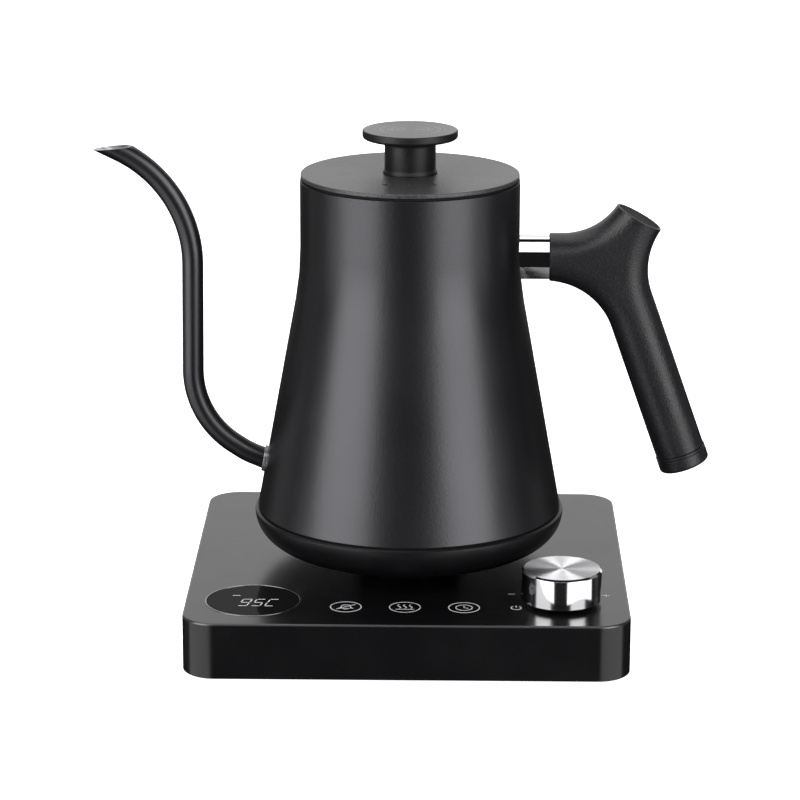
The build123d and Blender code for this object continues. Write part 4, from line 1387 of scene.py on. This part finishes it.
@dataclass
class Dial:
    """Turned dial: bright side, circular-brushed top, black core under it."""

    shop: Workshop
    chamfer: float = 0.9
    top_round: float = 0.12
    dish: float = 0.06
    dish_edge: float = 0.5
    face_t: float = 2.4
    core_drop: float = 0.1
    core_gap: float = 0.15
    core_wall: float = 1.65
    collar_r: float = 5.6
    bore_r: float = 2.6

    def build(self) -> None:
        """Builds and places the cap and the core."""
        place = self.shop.place
        place(self.cap(), "dial_body", BRIGHT_ALUMINIUM, Body.DIAL, ["dial_cap"], crease=20.0)
        place(self.core(), "dial_core", SKIRT_MOULDING, Body.DIAL, ["dial_insert"])

    def cap(self) -> bpy.types.Mesh:
        """Returns the aluminium cap, its face dished a little.

        Returns:
            The mesh.
        """
        box, inner = Extent.of("dial_cap"), Extent.of("dial_insert").radius
        outer, bottom, top = box.radius, box.bottom, box.top
        under, face, shoulder = top - self.face_t, top - self.dish, outer - self.chamfer
        profile = rounded(
            [
                (0, under, 0), (inner, under, 0), (inner, bottom, 0.1), (outer, bottom, 0.35),
                (outer, top - self.chamfer, 0.15), (shoulder, top, self.top_round),
                (shoulder - self.dish_edge, face, 0.1), (0, face, 0),
            ]
        )
        cap = lathe(profile, "dial_cap", 192, box.axis)
        coated(cap, BRIGHT_ALUMINIUM)
        reface(cap, TURNED_ALUMINIUM, lambda at, normal: normal.z > 0.95 and at.z > under)
        return cap

    def core(self) -> bpy.types.Mesh:
        """Returns the moulded core: its skirt, its web and the collar on the encoder's shaft.

        Returns:
            The mesh.
        """
        cap, insert = Extent.of("dial_cap"), Extent.of("dial_insert")
        head, floor = cap.top - self.face_t - self.core_drop, insert.bottom
        outer = insert.radius - self.core_gap
        inner, collar, bore = outer - self.core_wall, self.collar_r, self.bore_r
        profile = rounded(
            [
                (0, head, 0), (outer, head, 0), (outer, floor, 0.3), (inner, floor, 0.3),
                (inner, floor + 9.7, 0), (collar, floor + 9.7, 0), (collar, floor + 3.7, 0.2),
                (bore, floor + 3.7, 0), (bore, floor + 11.3, 0), (0, floor + 11.3, 0),
            ]
        )
        return lathe(profile, "core", 120, cap.axis)


# ---------------------------------------------------------------- kettle


@dataclass
class Vessel:
    """Body shell, its floor, the skirt below it, the gasket between them and the socket."""

    shop: Workshop
    rim_r: float = 50.3
    wall: float = 1.0
    seam_r: float = 70.5
    belly_z: float = 163.9
    blend_r: float = 140.0
    rim_round: float = 0.2
    bowl_r: float = 53.0
    bowl_steps: int = 28
    skirt_wall: float = 2.4
    lip_h: float = 1.1
    lip_in: float = 2.2
    screw_ring_r: float = 57.0
    socket_hole_r: float = 27.4
    socket_bore_r: float = 16.0
    socket_top_r: float = 20.0
    socket_shelf: float = 40.4
    socket_ceiling: float = 44.0
    spout_hole_r: float = 4.1
    spout_foot: Pair = (-60.5, 71.6)
    spout_rise: float = 22.07
    spout_bore: float = 24.0

    def build(self) -> None:
        """Builds and places the vessel's pieces."""
        place = self.shop.place
        ring, floor = merged_copy("spout_collar"), merged_copy("vessel_floor")
        place(self.body(), "vessel_shell", BODY_COAT, Body.KETTLE, ["kettle_body"], crease=30.0)
        place(self.skirt(), "skirt_shell", SKIRT_MOULDING, Body.KETTLE, ["skirt"], crease=25.0)
        place(self.gasket(), "seam_line", SILICONE, Body.KETTLE, ["seam_gasket"])
        place(self.socket(), "socket_shell", SKIRT_MOULDING, Body.SOCKET, ["coupler_socket"], crease=25.0)
        place(
            ring, "spout_foot_ring", GROUND_STEEL, Body.KETTLE, ["spout_collar"], crease=40.0, bevel_mm=0.25
        )
        place(floor, "vessel_bottom", DRAWN_STEEL, Body.KETTLE, ["vessel_floor"])

    def body(self) -> bpy.types.Mesh:
        """Returns the coated shell, bare steel inside, with the hole for the spout.

        Returns:
            The mesh.
        """
        box = Extent.of("kettle_body")
        seam, top, belly, rim_r, edge = box.bottom, box.top, self.belly_z, self.rim_r, self.rim_round
        slope = (self.seam_r - rim_r) / (belly - seam)
        wide = self.wall * hypot(1, slope)
        drop = (hypot(1, slope) - 1) / slope * self.wall
        inner_r = rim_r - self.wall
        profile = rounded(
            [
                (self.seam_r, seam, 0.3), (rim_r, belly, self.blend_r), (rim_r, top, edge),
                (inner_r, top, edge), (inner_r, belly - drop, self.blend_r + self.wall),
                (self.seam_r - wide, seam, 0),
            ]
        )
        lean = Matrix.Rotation(radians(self.spout_rise - 90), 4, "Y")
        foot = Matrix.Translation((self.spout_foot[0], 0, self.spout_foot[1]))
        bore = rod(self.spout_hole_r, 0, self.spout_bore, 48, foot @ lean)
        shell = cut(lathe(profile, "vessel", 240), bore)
        coated(shell, BODY_COAT)
        reface(shell, DRAWN_STEEL, lambda at, normal: normal.x * at.x + normal.y * at.y < 0)
        return shell

    def skirt(self) -> bpy.types.Mesh:
        """Returns the shallow bowl under the body, with the seats of its screws.

        Returns:
            The mesh.
        """
        box, hole, seam = Extent.of("skirt"), self.socket_hole_r, self.seam_r
        outer, inner, bottom, top = box.right, seam - self.lip_in, box.bottom, box.top
        lip, flat = top - self.lip_h, bottom + self.skirt_wall
        sweep = [radians(90 * i / self.bowl_steps) for i in range(self.bowl_steps + 1)]

        def bowl(reach: float, under: float) -> list[Pair]:
            """Returns the quarter ellipse from the flat bottom to the lip."""
            wide, deep = reach - self.bowl_r, lip - under
            return [(self.bowl_r + wide * sin(turn), lip - deep * cos(turn)) for turn in sweep]

        profile = bowl(outer, bottom)
        profile += [(outer - 0.1, lip + 0.4), (seam + 0.5, top - 0.1), (seam + 0.2, top), (inner, top)]
        profile += reversed(bowl(inner, flat))
        profile += [(hole, flat), (hole, bottom + 0.4), (hole + 0.4, bottom)]
        ring = [radians(a) for a in (90, 210, 330)]
        spots = [(self.screw_ring_r * cos(a), self.screw_ring_r * sin(a), bottom) for a in ring]
        seat = lathe([(0, -PAST), (3.2, -PAST), (3.2, 2.2), (1.7, 2.2), (1.7, 6.0), (0, 6.0)], "seat", 40)
        return cut(lathe(profile, "skirt", 240), self.shop.repeated(seat, spots, SKIRT_MOULDING, "seats"))

    def gasket(self) -> bpy.types.Mesh:
        """Returns the black line in the seam.

        Returns:
            The mesh.
        """
        box, inner = Extent.of("seam_gasket"), self.seam_r - self.lip_in
        outer, bottom, top = box.right, box.bottom, box.top
        profile = rounded([(inner, bottom, 0), (outer, bottom, 0.2), (outer, top, 0.2), (inner, top, 0)])
        return lathe(profile, "gasket", 240)

    def socket(self) -> bpy.types.Mesh:
        """Returns the kettle's half of the coupler, hollow below.

        Returns:
            The mesh.
        """
        box, bore, ceiling = Extent.of("coupler_socket"), self.socket_bore_r, self.socket_ceiling
        bottom, top, outer, neck, shelf = box.bottom, box.top, box.right, self.socket_top_r, self.socket_shelf
        profile = rounded(
            [
                (0, ceiling, 0), (bore, ceiling, 0), (bore, 35.2, 0.5), (18.0, bottom, 0.5),
                (20.4, bottom, 0.3), (20.8, bottom + 0.8, 0.3), (23.2, bottom + 0.8, 0.3),
                (23.6, bottom, 0.3), (outer, bottom, 1.0), (outer, shelf, 0.3), (neck, shelf, 0),
                (neck, top, 0.4), (0, top, 0),
            ]
        )
        return lathe(profile, "socket", 120)


@dataclass
class Spout:
    """Gooseneck tube: black outside, bare at the mouth and inside."""

    shop: Workshop
    tube_r: float = 4.9
    wall: float = 0.8
    route: tuple[Pair, ...] = ((-64.3, 73.1), (-75.3, 77.6), (-100.5, 94.0), (-99.5, 203.8), (-145.5, 226.2))
    bends: tuple[float, ...] = (0.0, 40.0, 42.0, 58.0, 0.0)
    tip: Pair = (-134.5, 221.5)
    tip_slant: float = 6.0
    around: int = 48
    bend_steps: int = 26

    def build(self) -> None:
        """Grows the tube along its route, cuts the mouth and bares the steel."""
        route = lines_mesh([[Vector((x, 0, z)) for x, z in self.route]], "route")
        bends = route.attributes.new("bend", "FLOAT", "POINT")
        bends.data.foreach_set("value", [bend * MM for bend in self.bends])
        tube = self.shop.tube.grow(
            route,
            BODY_COAT,
            Outer_Radius=self.tube_r * MM,
            Inner_Radius=(self.tube_r - self.wall) * MM,
            Around=self.around,
            Bend_Steps=self.bend_steps,
        )
        self.trim(tube)
        self.shop.place(tube, "gooseneck_tube", BODY_COAT, Body.KETTLE, ["spout_tube"], crease=50.0)

    def trim(self, tube: bpy.types.Mesh) -> None:
        """Cuts the mouth on its slant, closes both ends and bares the steel there and inside.

        Args:
            tube: The tube's mesh, changed in place.
        """
        coated(tube, BODY_COAT)
        tube.materials.append(GROUND_STEEL.material())
        bm = bmesh.new()
        bm.from_mesh(tube)
        half = len(bm.faces) // 2
        walls = (bm.faces[:half], bm.faces[half:])
        inner = min(walls, key=lambda wall: max(abs(vert.co.y) for face in wall for vert in face.verts))
        for face in inner:
            face.material_index = 1
        slant = radians(self.tip_slant)
        mouth = Vector((self.tip[0], 0, self.tip[1])) * MM
        lean = Vector((-sin(slant), 0, cos(slant)))
        halve(bm, mouth, lean, TINY * MM)
        before = set(bm.faces)
        ends: tuple[list, list] = ([], [])
        for edge in [edge for edge in bm.edges if edge.is_boundary]:
            at_mouth = abs((edge.verts[0].co - mouth).dot(lean)) < 0.01 * MM
            ends[0 if at_mouth else 1].append(edge)
        for end in ends:
            bmesh.ops.bridge_loops(bm, edges=end)
        for face in set(bm.faces) - before:
            face.material_index = 1
        bmesh.ops.recalc_face_normals(bm, faces=bm.faces)
        bm.to_mesh(tube)
        bm.free()


@dataclass
class Handle:
    """Polished bracket and the moulded grip with its two caps."""

    shop: Workshop
    junction: Pair = (93.8, 170.5)
    grip_tilt: float = 19.6
    horn_tilt: float = 28.9
    horn_flare: float = 7.2
    grip_r: float = 11.4
    edge_r: float = 10.8
    edge_steps: int = 14
    neck_x: float = 64.0
    neck_z: float = 171.6
    neck_r: float = 10.9
    neck_fall: float = 8.0
    horn_length: float = 23.0
    grip_length: float = 96.2
    spare: float = 4.0
    below_r: float = 32.8
    right_r: float = 33.2
    above_r: float = 29.5
    cap_r: float = 10.2
    cap_t: float = 2.0
    cap_gap: float = 0.15
    cap_sunk: float = 0.25
    end_cap: float = 7.5
    end_cap_proud: float = 0.4
    bar_half: float = 9.9
    bar_flat: float = 3.5
    bar_depth: float = 6.4
    bar_ridge: float = 3.0
    bar_round: float = 4.5
    body_r: float = 50.35
    bar_seat: float = 0.9

    @property
    def grip_way(self) -> float:
        """Direction of the grip's axis in the handle's plane, in degrees."""
        return 270 + self.grip_tilt

    @property
    def horn_way(self) -> float:
        """Direction of the horn's axis in the handle's plane, in degrees."""
        return 90 - self.horn_tilt

    def build(self) -> None:
        """Builds and places bracket, grip and caps."""
        place, bar = self.shop.place, self.bracket()
        bracket = place(
            bar, "polished_bracket", POLISHED_STEEL, Body.KETTLE, ["handle_bracket"],
            crease=20.0, bevel_mm=0.15,
        )
        bracket.visible_glossy = False  # keeps its mirror image from flaring on the coated body beside it
        grip = self.grip()
        place(grip, "grip_moulding", GRIP_MOULDING, Body.KETTLE, ["handle_grip"], crease=38.0, bevel_mm=0.4)
        place(self.top(), "horn_cap", CAP_MOULDING, Body.KETTLE, ["handle_top_cap"])
        place(self.foot(), "grip_end_cap", GRIP_MOULDING, Body.KETTLE, ["handle_end_cap"], crease=40.0)

    def point(self, angle: float, along: float, side: float = 0.0) -> Pair:
        """Returns a point of the handle's plane: along an axis from the junction, then to its left."""
        dx, dz = cos(radians(angle)), sin(radians(angle))
        return (self.junction[0] + along * dx - side * dz, self.junction[1] + along * dz + side * dx)

    def along(self, angle: float, distance: float) -> Matrix:
        """Returns the placement of a lathed piece on a handle axis, its own Z along the axis."""
        x, z = self.point(angle, distance)
        return Matrix.Translation((x, 0, z)) @ Matrix.Rotation(radians(90 - angle), 4, "Y")

    @staticmethod
    def crossing(point_a: Pair, angle_a: float, point_b: Pair, angle_b: float) -> Pair:
        """Returns where two lines of the handle's plane cross.

        Args:
            point_a: A point of the first line.
            angle_a: Its direction in degrees.
            point_b: A point of the second line.
            angle_b: Its direction in degrees.

        Returns:
            The crossing.
        """
        ax, az = cos(radians(angle_a)), sin(radians(angle_a))
        bx, bz = cos(radians(angle_b)), sin(radians(angle_b))
        share = ((point_b[0] - point_a[0]) * bz - (point_b[1] - point_a[1]) * bx) / (ax * bz - az * bx)
        return (point_a[0] + share * ax, point_a[1] + share * az)

    def bracket(self) -> bpy.types.Mesh:
        """Returns the eight-sided bar, its upper edges rounded, starting inside the body's wall.

        Returns:
            The mesh.
        """
        r, h, d, f, soft = self.bar_ridge, self.bar_half, self.bar_depth, self.bar_flat, self.bar_round
        corners = [(r, h, soft), (-r, h, soft), (-d, f, 0), (-d, -f, 0), (-r, -h, 0), (r, -h, 0)]
        section = rounded([*corners, (d, -f, 0), (d, f, 0)], step_deg=4.0)
        ends = (self.body_r - self.bar_seat, self.neck_x)
        return loft([[Vector((x, y, self.neck_z + z)) for y, z in section] for x in ends], "bracket")

    def sides(self) -> list[list[Pair]]:
        """Returns the three long sides of the outline, each past its ends by a few millimetres.

        Returns:
            The sides, each as points from end to end.
        """
        grip, horn, neck, r, more = self.grip_way, self.horn_way, 180.0, self.grip_r, self.spare
        neck_low = (self.neck_x, self.neck_z - self.neck_r)
        neck_high = (self.neck_x, self.neck_z + self.neck_r)
        fall, lean = radians(self.neck_fall), horn - self.horn_flare
        horn_high = self.point(horn, self.horn_length, r)
        below = self.crossing(neck_low, neck - self.neck_fall, self.point(grip, 0, -r), grip)
        right = self.crossing(self.point(grip, 0, r), grip, self.point(horn, 0, -r), horn)
        above = self.crossing(neck_high, neck, horn_high, lean)
        neck_start = (neck_low[0] - more * cos(fall), neck_low[1] + more * sin(fall))
        neck_end = (neck_high[0] - more, neck_high[1])
        horn_start = (horn_high[0] + more * cos(radians(lean)), horn_high[1] + more * sin(radians(lean)))
        horn_end = self.point(horn, self.horn_length + more, -r)
        grip_left, grip_right = (self.point(grip, self.grip_length + more, side) for side in (-r, r))
        routes = (
            (neck_start, below, self.below_r, grip_left),
            (grip_right, right, self.right_r, horn_end),
            (horn_start, above, self.above_r, neck_end),
        )
        return [
            rounded([(*start, 0), (*corner, radius), (*end, 0)], closed=False, step_deg=2.5)
            for start, corner, radius, end in routes
        ]

    def grip(self) -> bpy.types.Mesh:
        """Returns the grip: a half-round swept along each side, flat cheeks between them.

        Returns:
            The mesh.
        """
        bm = bmesh.new()
        bulge, flat = self.edge_r, self.grip_r - self.edge_r
        turns = [radians(90 * i / self.edge_steps) for i in range(self.edge_steps + 1)]
        section = [(bulge * (1 - cos(t)), flat + bulge * sin(t)) for t in turns]
        section = [(e, -y) for e, y in reversed(section)] + section
        cheeks: tuple[list, list] = ([], [])
        for side in self.sides():
            rows = []
            for i, (x, z) in enumerate(side):
                before, after = side[max(i - 1, 0)], side[min(i + 1, len(side) - 1)]
                dx, dz = after[0] - before[0], after[1] - before[1]
                length = hypot(dx, dz)
                inward = (-dz / length, dx / length)
                rows.append([bm.verts.new((x + inward[0] * e, y, z + inward[1] * e)) for e, y in section])
            for row, nxt in zip(rows, rows[1:]):
                for j in range(len(section) - 1):
                    bm.faces.new((row[j], nxt[j], nxt[j + 1], row[j + 1]))
            cheeks[0].extend(row[0] for row in rows)
            cheeks[1].extend(row[-1] for row in rows)
        for cheek in cheeks:
            bm.faces.new(cheek)
        self.square_off(bm)
        seat = rod(self.cap_r, -self.cap_t, 3 * PAST, 96, self.along(self.horn_way, self.horn_length))
        return cut(to_mesh(bm, "grip"), seat)

    def square_off(self, bm: bmesh.types.BMesh) -> None:
        """Cuts the three ends square and closes them.

        Args:
            bm: The grip's shape in mm, changed in place.
        """
        ends = (
            ((self.neck_x, self.neck_z), 180.0),
            (self.point(self.grip_way, self.grip_length), self.grip_way),
            (self.point(self.horn_way, self.horn_length), self.horn_way),
        )
        for (x, z), angle in ends:
            outward = Vector((cos(radians(angle)), 0, sin(radians(angle))))
            spot = Vector((x, 0, z))
            halve(bm, spot, outward, 1e-4)
            rim = [e for e in bm.edges if all(abs((v.co - spot).dot(outward)) < 1e-3 for v in e.verts)]
            bmesh.ops.contextual_create(bm, geom=rim)

    def top(self) -> bpy.types.Mesh:
        """Returns the cap sunk into the end of the horn.

        Returns:
            The mesh.
        """
        edge, low, high = self.cap_r - self.cap_gap, -self.cap_t, -self.cap_sunk
        profile = rounded([(0, low, 0), (edge, low, 0), (edge, high, 0.4), (0, high, 0)])
        return lathe(profile, "top_cap", 96, self.along(self.horn_way, self.horn_length))

    def foot(self) -> bpy.types.Mesh:
        """Returns the end cap with the fine groove below its upper edge.

        Returns:
            The mesh.
        """
        r, deep = self.grip_r + self.end_cap_proud, self.end_cap
        profile = rounded(
            [
                (0, 0, 0), (r - 0.5, 0, 0), (r, 0.25, 0.2), (r, 0.95, 0.15), (r - 0.35, 1.15, 0),
                (r - 0.35, 1.45, 0), (r, 1.65, 0.15), (r, deep, 1.6), (0, deep, 0),
            ]
        )
        return lathe(profile, "foot", 112, self.along(self.grip_way, self.grip_length))


# ---------------------------------------------------------------- lid


@dataclass
class Lid:
    """Flat cover with its knob, the cup under it and the silicone seal."""

    shop: Workshop
    edge: float = 0.5
    knob_t: float = 4.1
    stem_r: float = 11.7
    stem_flare: float = 0.7
    cup_r: float = 46.0
    cup_t: float = 0.8
    cup_round: float = 1.4
    seal_gap: float = 0.05
    seal_t: float = 1.2
    fin_short: float = 0.8
    fin_levels: Pair = (1.6, 4.8)
    steam_r: float = 1.2
    steam: tuple[Pair, ...] = ((0.0, -29.0), (-11.0, -27.6), (11.0, -27.6))

    def build(self) -> None:
        """Builds and places the lid's pieces."""
        place = self.shop.place
        place(self.cover(), "lid_disc", LID_COAT, Body.LID, ["lid_cover"], crease=25.0)
        place(self.knob(), "mushroom_knob", KNOB_MOULDING, Body.LID, ["lid_knob"], crease=25.0)
        place(self.cup(), "lid_inner_cup", DRAWN_STEEL, Body.LID, ["lid_cup"], crease=25.0)
        place(self.seal(), "lid_seal_ring", SILICONE, Body.SEAL, ["lid_seal"], crease=25.0)

    def holes(self, low: float, high: float) -> bpy.types.Mesh:
        """Returns the cutters of the steam holes, from just below to just above a plate."""
        drill = rod(self.steam_r, low - PAST, high + PAST, 24)
        return self.shop.repeated(drill, [(x, y, 0) for x, y in self.steam], LID_COAT, "steam")

    def cover(self) -> bpy.types.Mesh:
        """Returns the cover disc.

        Returns:
            The mesh.
        """
        box, edge = Extent.of("lid_cover"), self.edge
        radius, bottom, top = box.right, box.bottom, box.top
        profile = rounded([(0, bottom, 0), (radius, bottom, edge), (radius, top, edge), (0, top, 0)])
        return cut(lathe(profile, "cover", 240), self.holes(bottom, top))

    def knob(self) -> bpy.types.Mesh:
        """Returns the mushroom knob.

        Returns:
            The mesh.
        """
        box = Extent.of("lid_knob")
        radius, bottom, top, under = box.right, box.bottom, box.top, box.top - self.knob_t
        stem, foot = self.stem_r, self.stem_r + self.stem_flare
        profile = rounded(
            [
                (0, bottom, 0), (foot, bottom, 0.15), (foot, bottom + 0.7, 0.2), (stem, bottom + 2.0, 1.0),
                (stem, under, 3.0), (radius, under, 1.5), (radius, top, 0.7), (0, top, 0),
            ],
            step_deg=7.0,
        )
        knob = lathe(profile, "knob", 160)
        coated(knob, KNOB_MOULDING)
        reface(knob, KNOB_TOP, lambda at, normal: normal.z > 0.97 and at.z > top - 0.3)
        return knob

    def cup(self) -> bpy.types.Mesh:
        """Returns the drawn cup that fills the mouth of the vessel.

        Returns:
            The mesh.
        """
        box, outer, inner, bend = Extent.of("lid_cup"), self.cup_r, self.cup_r - self.cup_t, self.cup_round
        bottom, top, floor = box.bottom, box.top, box.bottom + self.cup_t
        profile = rounded(
            [
                (0, bottom, 0), (outer, bottom, bend), (outer, top, 0), (inner, top, 0),
                (inner, floor, bend / 2), (0, floor, 0),
            ]
        )
        return cut(lathe(profile, "cup", 200), self.holes(bottom, floor))

    def seal(self) -> bpy.types.Mesh:
        """Returns the silicone ring with its two fins and its flange.

        Returns:
            The mesh.
        """
        box, bore = Extent.of("lid_seal"), self.cup_r + self.seal_gap
        flange, bottom, top = box.right, box.bottom, box.top
        web, fin = bore + self.seal_t, flange - self.fin_short
        corners = [(bore, bottom, 0), (web, bottom, 0.2)]
        for height in self.fin_levels:
            root = bottom + height
            corners += [(web, root, 0.3), (fin, root + 0.6, 0.25), (fin, root + 1.4, 0.25)]
            corners.append((web, root + 1.8, 0.3))
        corners += [(web, top - 1.0, 0), (flange, top - 1.0, 0.2), (flange, top, 0.2), (bore, top, 0)]
        return lathe(rounded(corners), "seal", 200)


# ---------------------------------------------------------------- inner works


@dataclass
class InnerWorks:
    """CAD shapes that stay as they are and only get a finish."""

    shop: Workshop

    def dress(self) -> None:
        """Gives each hidden node its finish."""
        dress = self.shop.dress
        dress(SKIRT_MOULDING, "base_bottom", "encoder_body", "power_relay", "buzzer", "cord_clamp")
        dress(CIRCUIT_BOARD, "control_board", "power_board")
        dress(PLATED_STEEL, "control_board_screws", "power_board_screws", "clamp_screws", "encoder_nut")
        dress(PLATED_STEEL, "encoder_shaft", "touch_springs", "skirt_studs", "skirt_screws", "knob_screw")
        dress(PLATED_STEEL, "handle_screw", "handle_core", "capacitor", "thermostat")
        dress(DRAWN_STEEL, "probe", "lid_spacer", "heating_element")
        dress(CAST_ALUMINIUM, "heat_plate")
        dress(SILICONE, "probe_bush", "switch_plunger")
        dress(CONTACT_BRASS, "plug_contacts", "socket_pins", "transformer")
        dress(SMOKED_LENS, "digit_block")


# ---------------------------------------------------------------- studio


@dataclass(frozen=True)
class Softbox:
    """A soft area light aimed at the object.

    Attributes:
        name: Its name.
        azimuth: Degrees from the camera's side, to the right when positive.
        elevation: Degrees above the horizon.
        distance: Metres from the object's axis.
        width: Metres across.
        height: Metres up and down.
        radiance: Brightness of its face.
    """

    name: str
    azimuth: float
    elevation: float
    distance: float
    width: float
    height: float
    radiance: float

    def build(self, aim: Vector) -> None:
        """Makes the light, turned to aim.

        Args:
            aim: The point that it is turned to.
        """
        turn, rise = radians(self.azimuth), radians(self.elevation)
        away = Vector((sin(turn) * cos(rise), -cos(turn) * cos(rise), sin(rise)))
        data = bpy.data.lights.new(self.name, "AREA")
        data.shape = "RECTANGLE"
        data.size = self.width
        data.size_y = self.height
        data.energy = self.radiance * pi * self.width * self.height
        light = bpy.data.objects.new(self.name, data)
        facing = away.to_track_quat("Z", "Y").to_matrix().to_4x4()
        light.matrix_world = Matrix.Translation(aim + away * self.distance) @ facing
        light.visible_camera = False
        bpy.context.scene.collection.objects.link(light)


@dataclass
class Studio:
    """White paper floor, soft lights, a surround that only the camera sees white, and the camera."""

    aim: Vector
    pitch: float = 15.44
    yaw: float = 0.84
    roll: float = 0.15
    distance: float = 1.5055
    lens: float = 145.8
    sensor: float = 36.0
    sight: float = 20.0
    target: Corner = (-0.00435, 0.0, 0.10294)
    surround: float = 0.012
    floor_half: float = 5.0

    def build(self) -> None:
        """Sets up the whole studio."""
        bpy.context.scene.view_settings.view_transform = "Standard"
        self.floor()
        self.world()
        boxes = (
            Softbox("left_softbox", -52.0, 20.0, 1.3, 1.1, 1.5, 4.45),
            Softbox("right_softbox", 46.5, 20.0, 1.3, 0.95, 1.5, 4.55),
            Softbox("left_low_panel", -58.0, -24.0, 1.5, 2.1, 0.9, 1.3),
            Softbox("right_low_panel", 53.0, -24.0, 1.5, 2.1, 0.9, 1.3),
            Softbox("left_rim_panel", -115.0, 10.0, 1.6, 0.6, 1.8, 0.32),
            Softbox("right_rim_panel", 115.0, 10.0, 1.6, 0.6, 1.8, 0.2),
            Softbox("front_overhead_softbox", -4.0, 44.0, 1.4, 0.8, 0.4, 2.4),
            Softbox("overhead_softbox", -150.0, 74.0, 1.4, 1.2, 0.9, 2.0),
            Softbox("backdrop", 180.0, 26.0, 1.5, 2.2, 1.9, 1.0),
        )
        for box in boxes:
            box.build(self.aim)
        self.camera()

    def floor(self) -> None:
        """Makes the paper floor, which the camera sees but which lights and shades nothing."""
        half = self.floor_half
        corners = [(-half, -half, 0), (half, -half, 0), (half, half, 0), (-half, half, 0)]
        mesh = bpy.data.meshes.new("floor")
        mesh.from_pydata(corners, [], [(0, 1, 2, 3)])
        paper = FLOOR_PAPER.material()
        paper.cycles.emission_sampling = "NONE"
        mesh.materials.append(paper)
        floor = bench_object(mesh, "paper_floor")
        floor.visible_glossy = False
        floor.visible_diffuse = False
        floor.visible_shadow = False

    def world(self) -> None:
        """Makes the surround: white behind the object, dim for everything else."""
        world = bpy.data.worlds.new("studio")
        world.use_nodes = True
        world.node_tree.nodes.clear()
        work = NodeWork(world.node_tree)
        rays = work.add("ShaderNodeLightPath", {})
        dim, white = (
            work.add("ShaderNodeBackground", {"Color": (1, 1, 1, 1), "Strength": strength}).outputs[0]
            for strength in (self.surround, 1.0)
        )
        both = work.add("ShaderNodeMixShader", {0: rays.outputs["Is Camera Ray"], 1: dim, 2: white})
        work.add("ShaderNodeOutputWorld", {"Surface": both.outputs[0]})
        bpy.context.scene.world = world

    def camera(self) -> None:
        """Places the camera."""
        pitch, yaw, roll = radians(self.pitch), radians(self.yaw), radians(self.roll)
        back = Vector((sin(yaw) * cos(pitch), -cos(yaw) * cos(pitch), sin(pitch)))
        level_right = Vector((0, 0, 1)).cross(back).normalized()
        level_up = back.cross(level_right)
        right = level_right * cos(roll) + level_up * sin(roll)
        up = level_up * cos(roll) - level_right * sin(roll)
        data = bpy.data.cameras.new("camera")
        data.lens = self.lens
        data.sensor_width = self.sensor
        data.clip_end = self.sight
        camera = bpy.data.objects.new("camera", data)
        turn = Matrix((right, up, back)).transposed().to_4x4()
        camera.matrix_world = Matrix.Translation(Vector(self.target) + back * self.distance) @ turn
        bpy.context.scene.collection.objects.link(camera)
        bpy.context.scene.camera = camera


def main() -> None:
    """Builds the object's pieces in order, dresses the rest and sets up the studio."""
    logging.basicConfig(level=logging.INFO, format="%(name)s: %(message)s")
    Studio(aim=Vector((0, 0, 0.1))).build()
    shop = Workshop()
    for part in (BaseUnit, ControlPanel, Dial, Vessel, Spout, Handle, Lid):
        part(shop).build()
    InnerWorks(shop).dress()


if __name__ == "__main__":
    main()
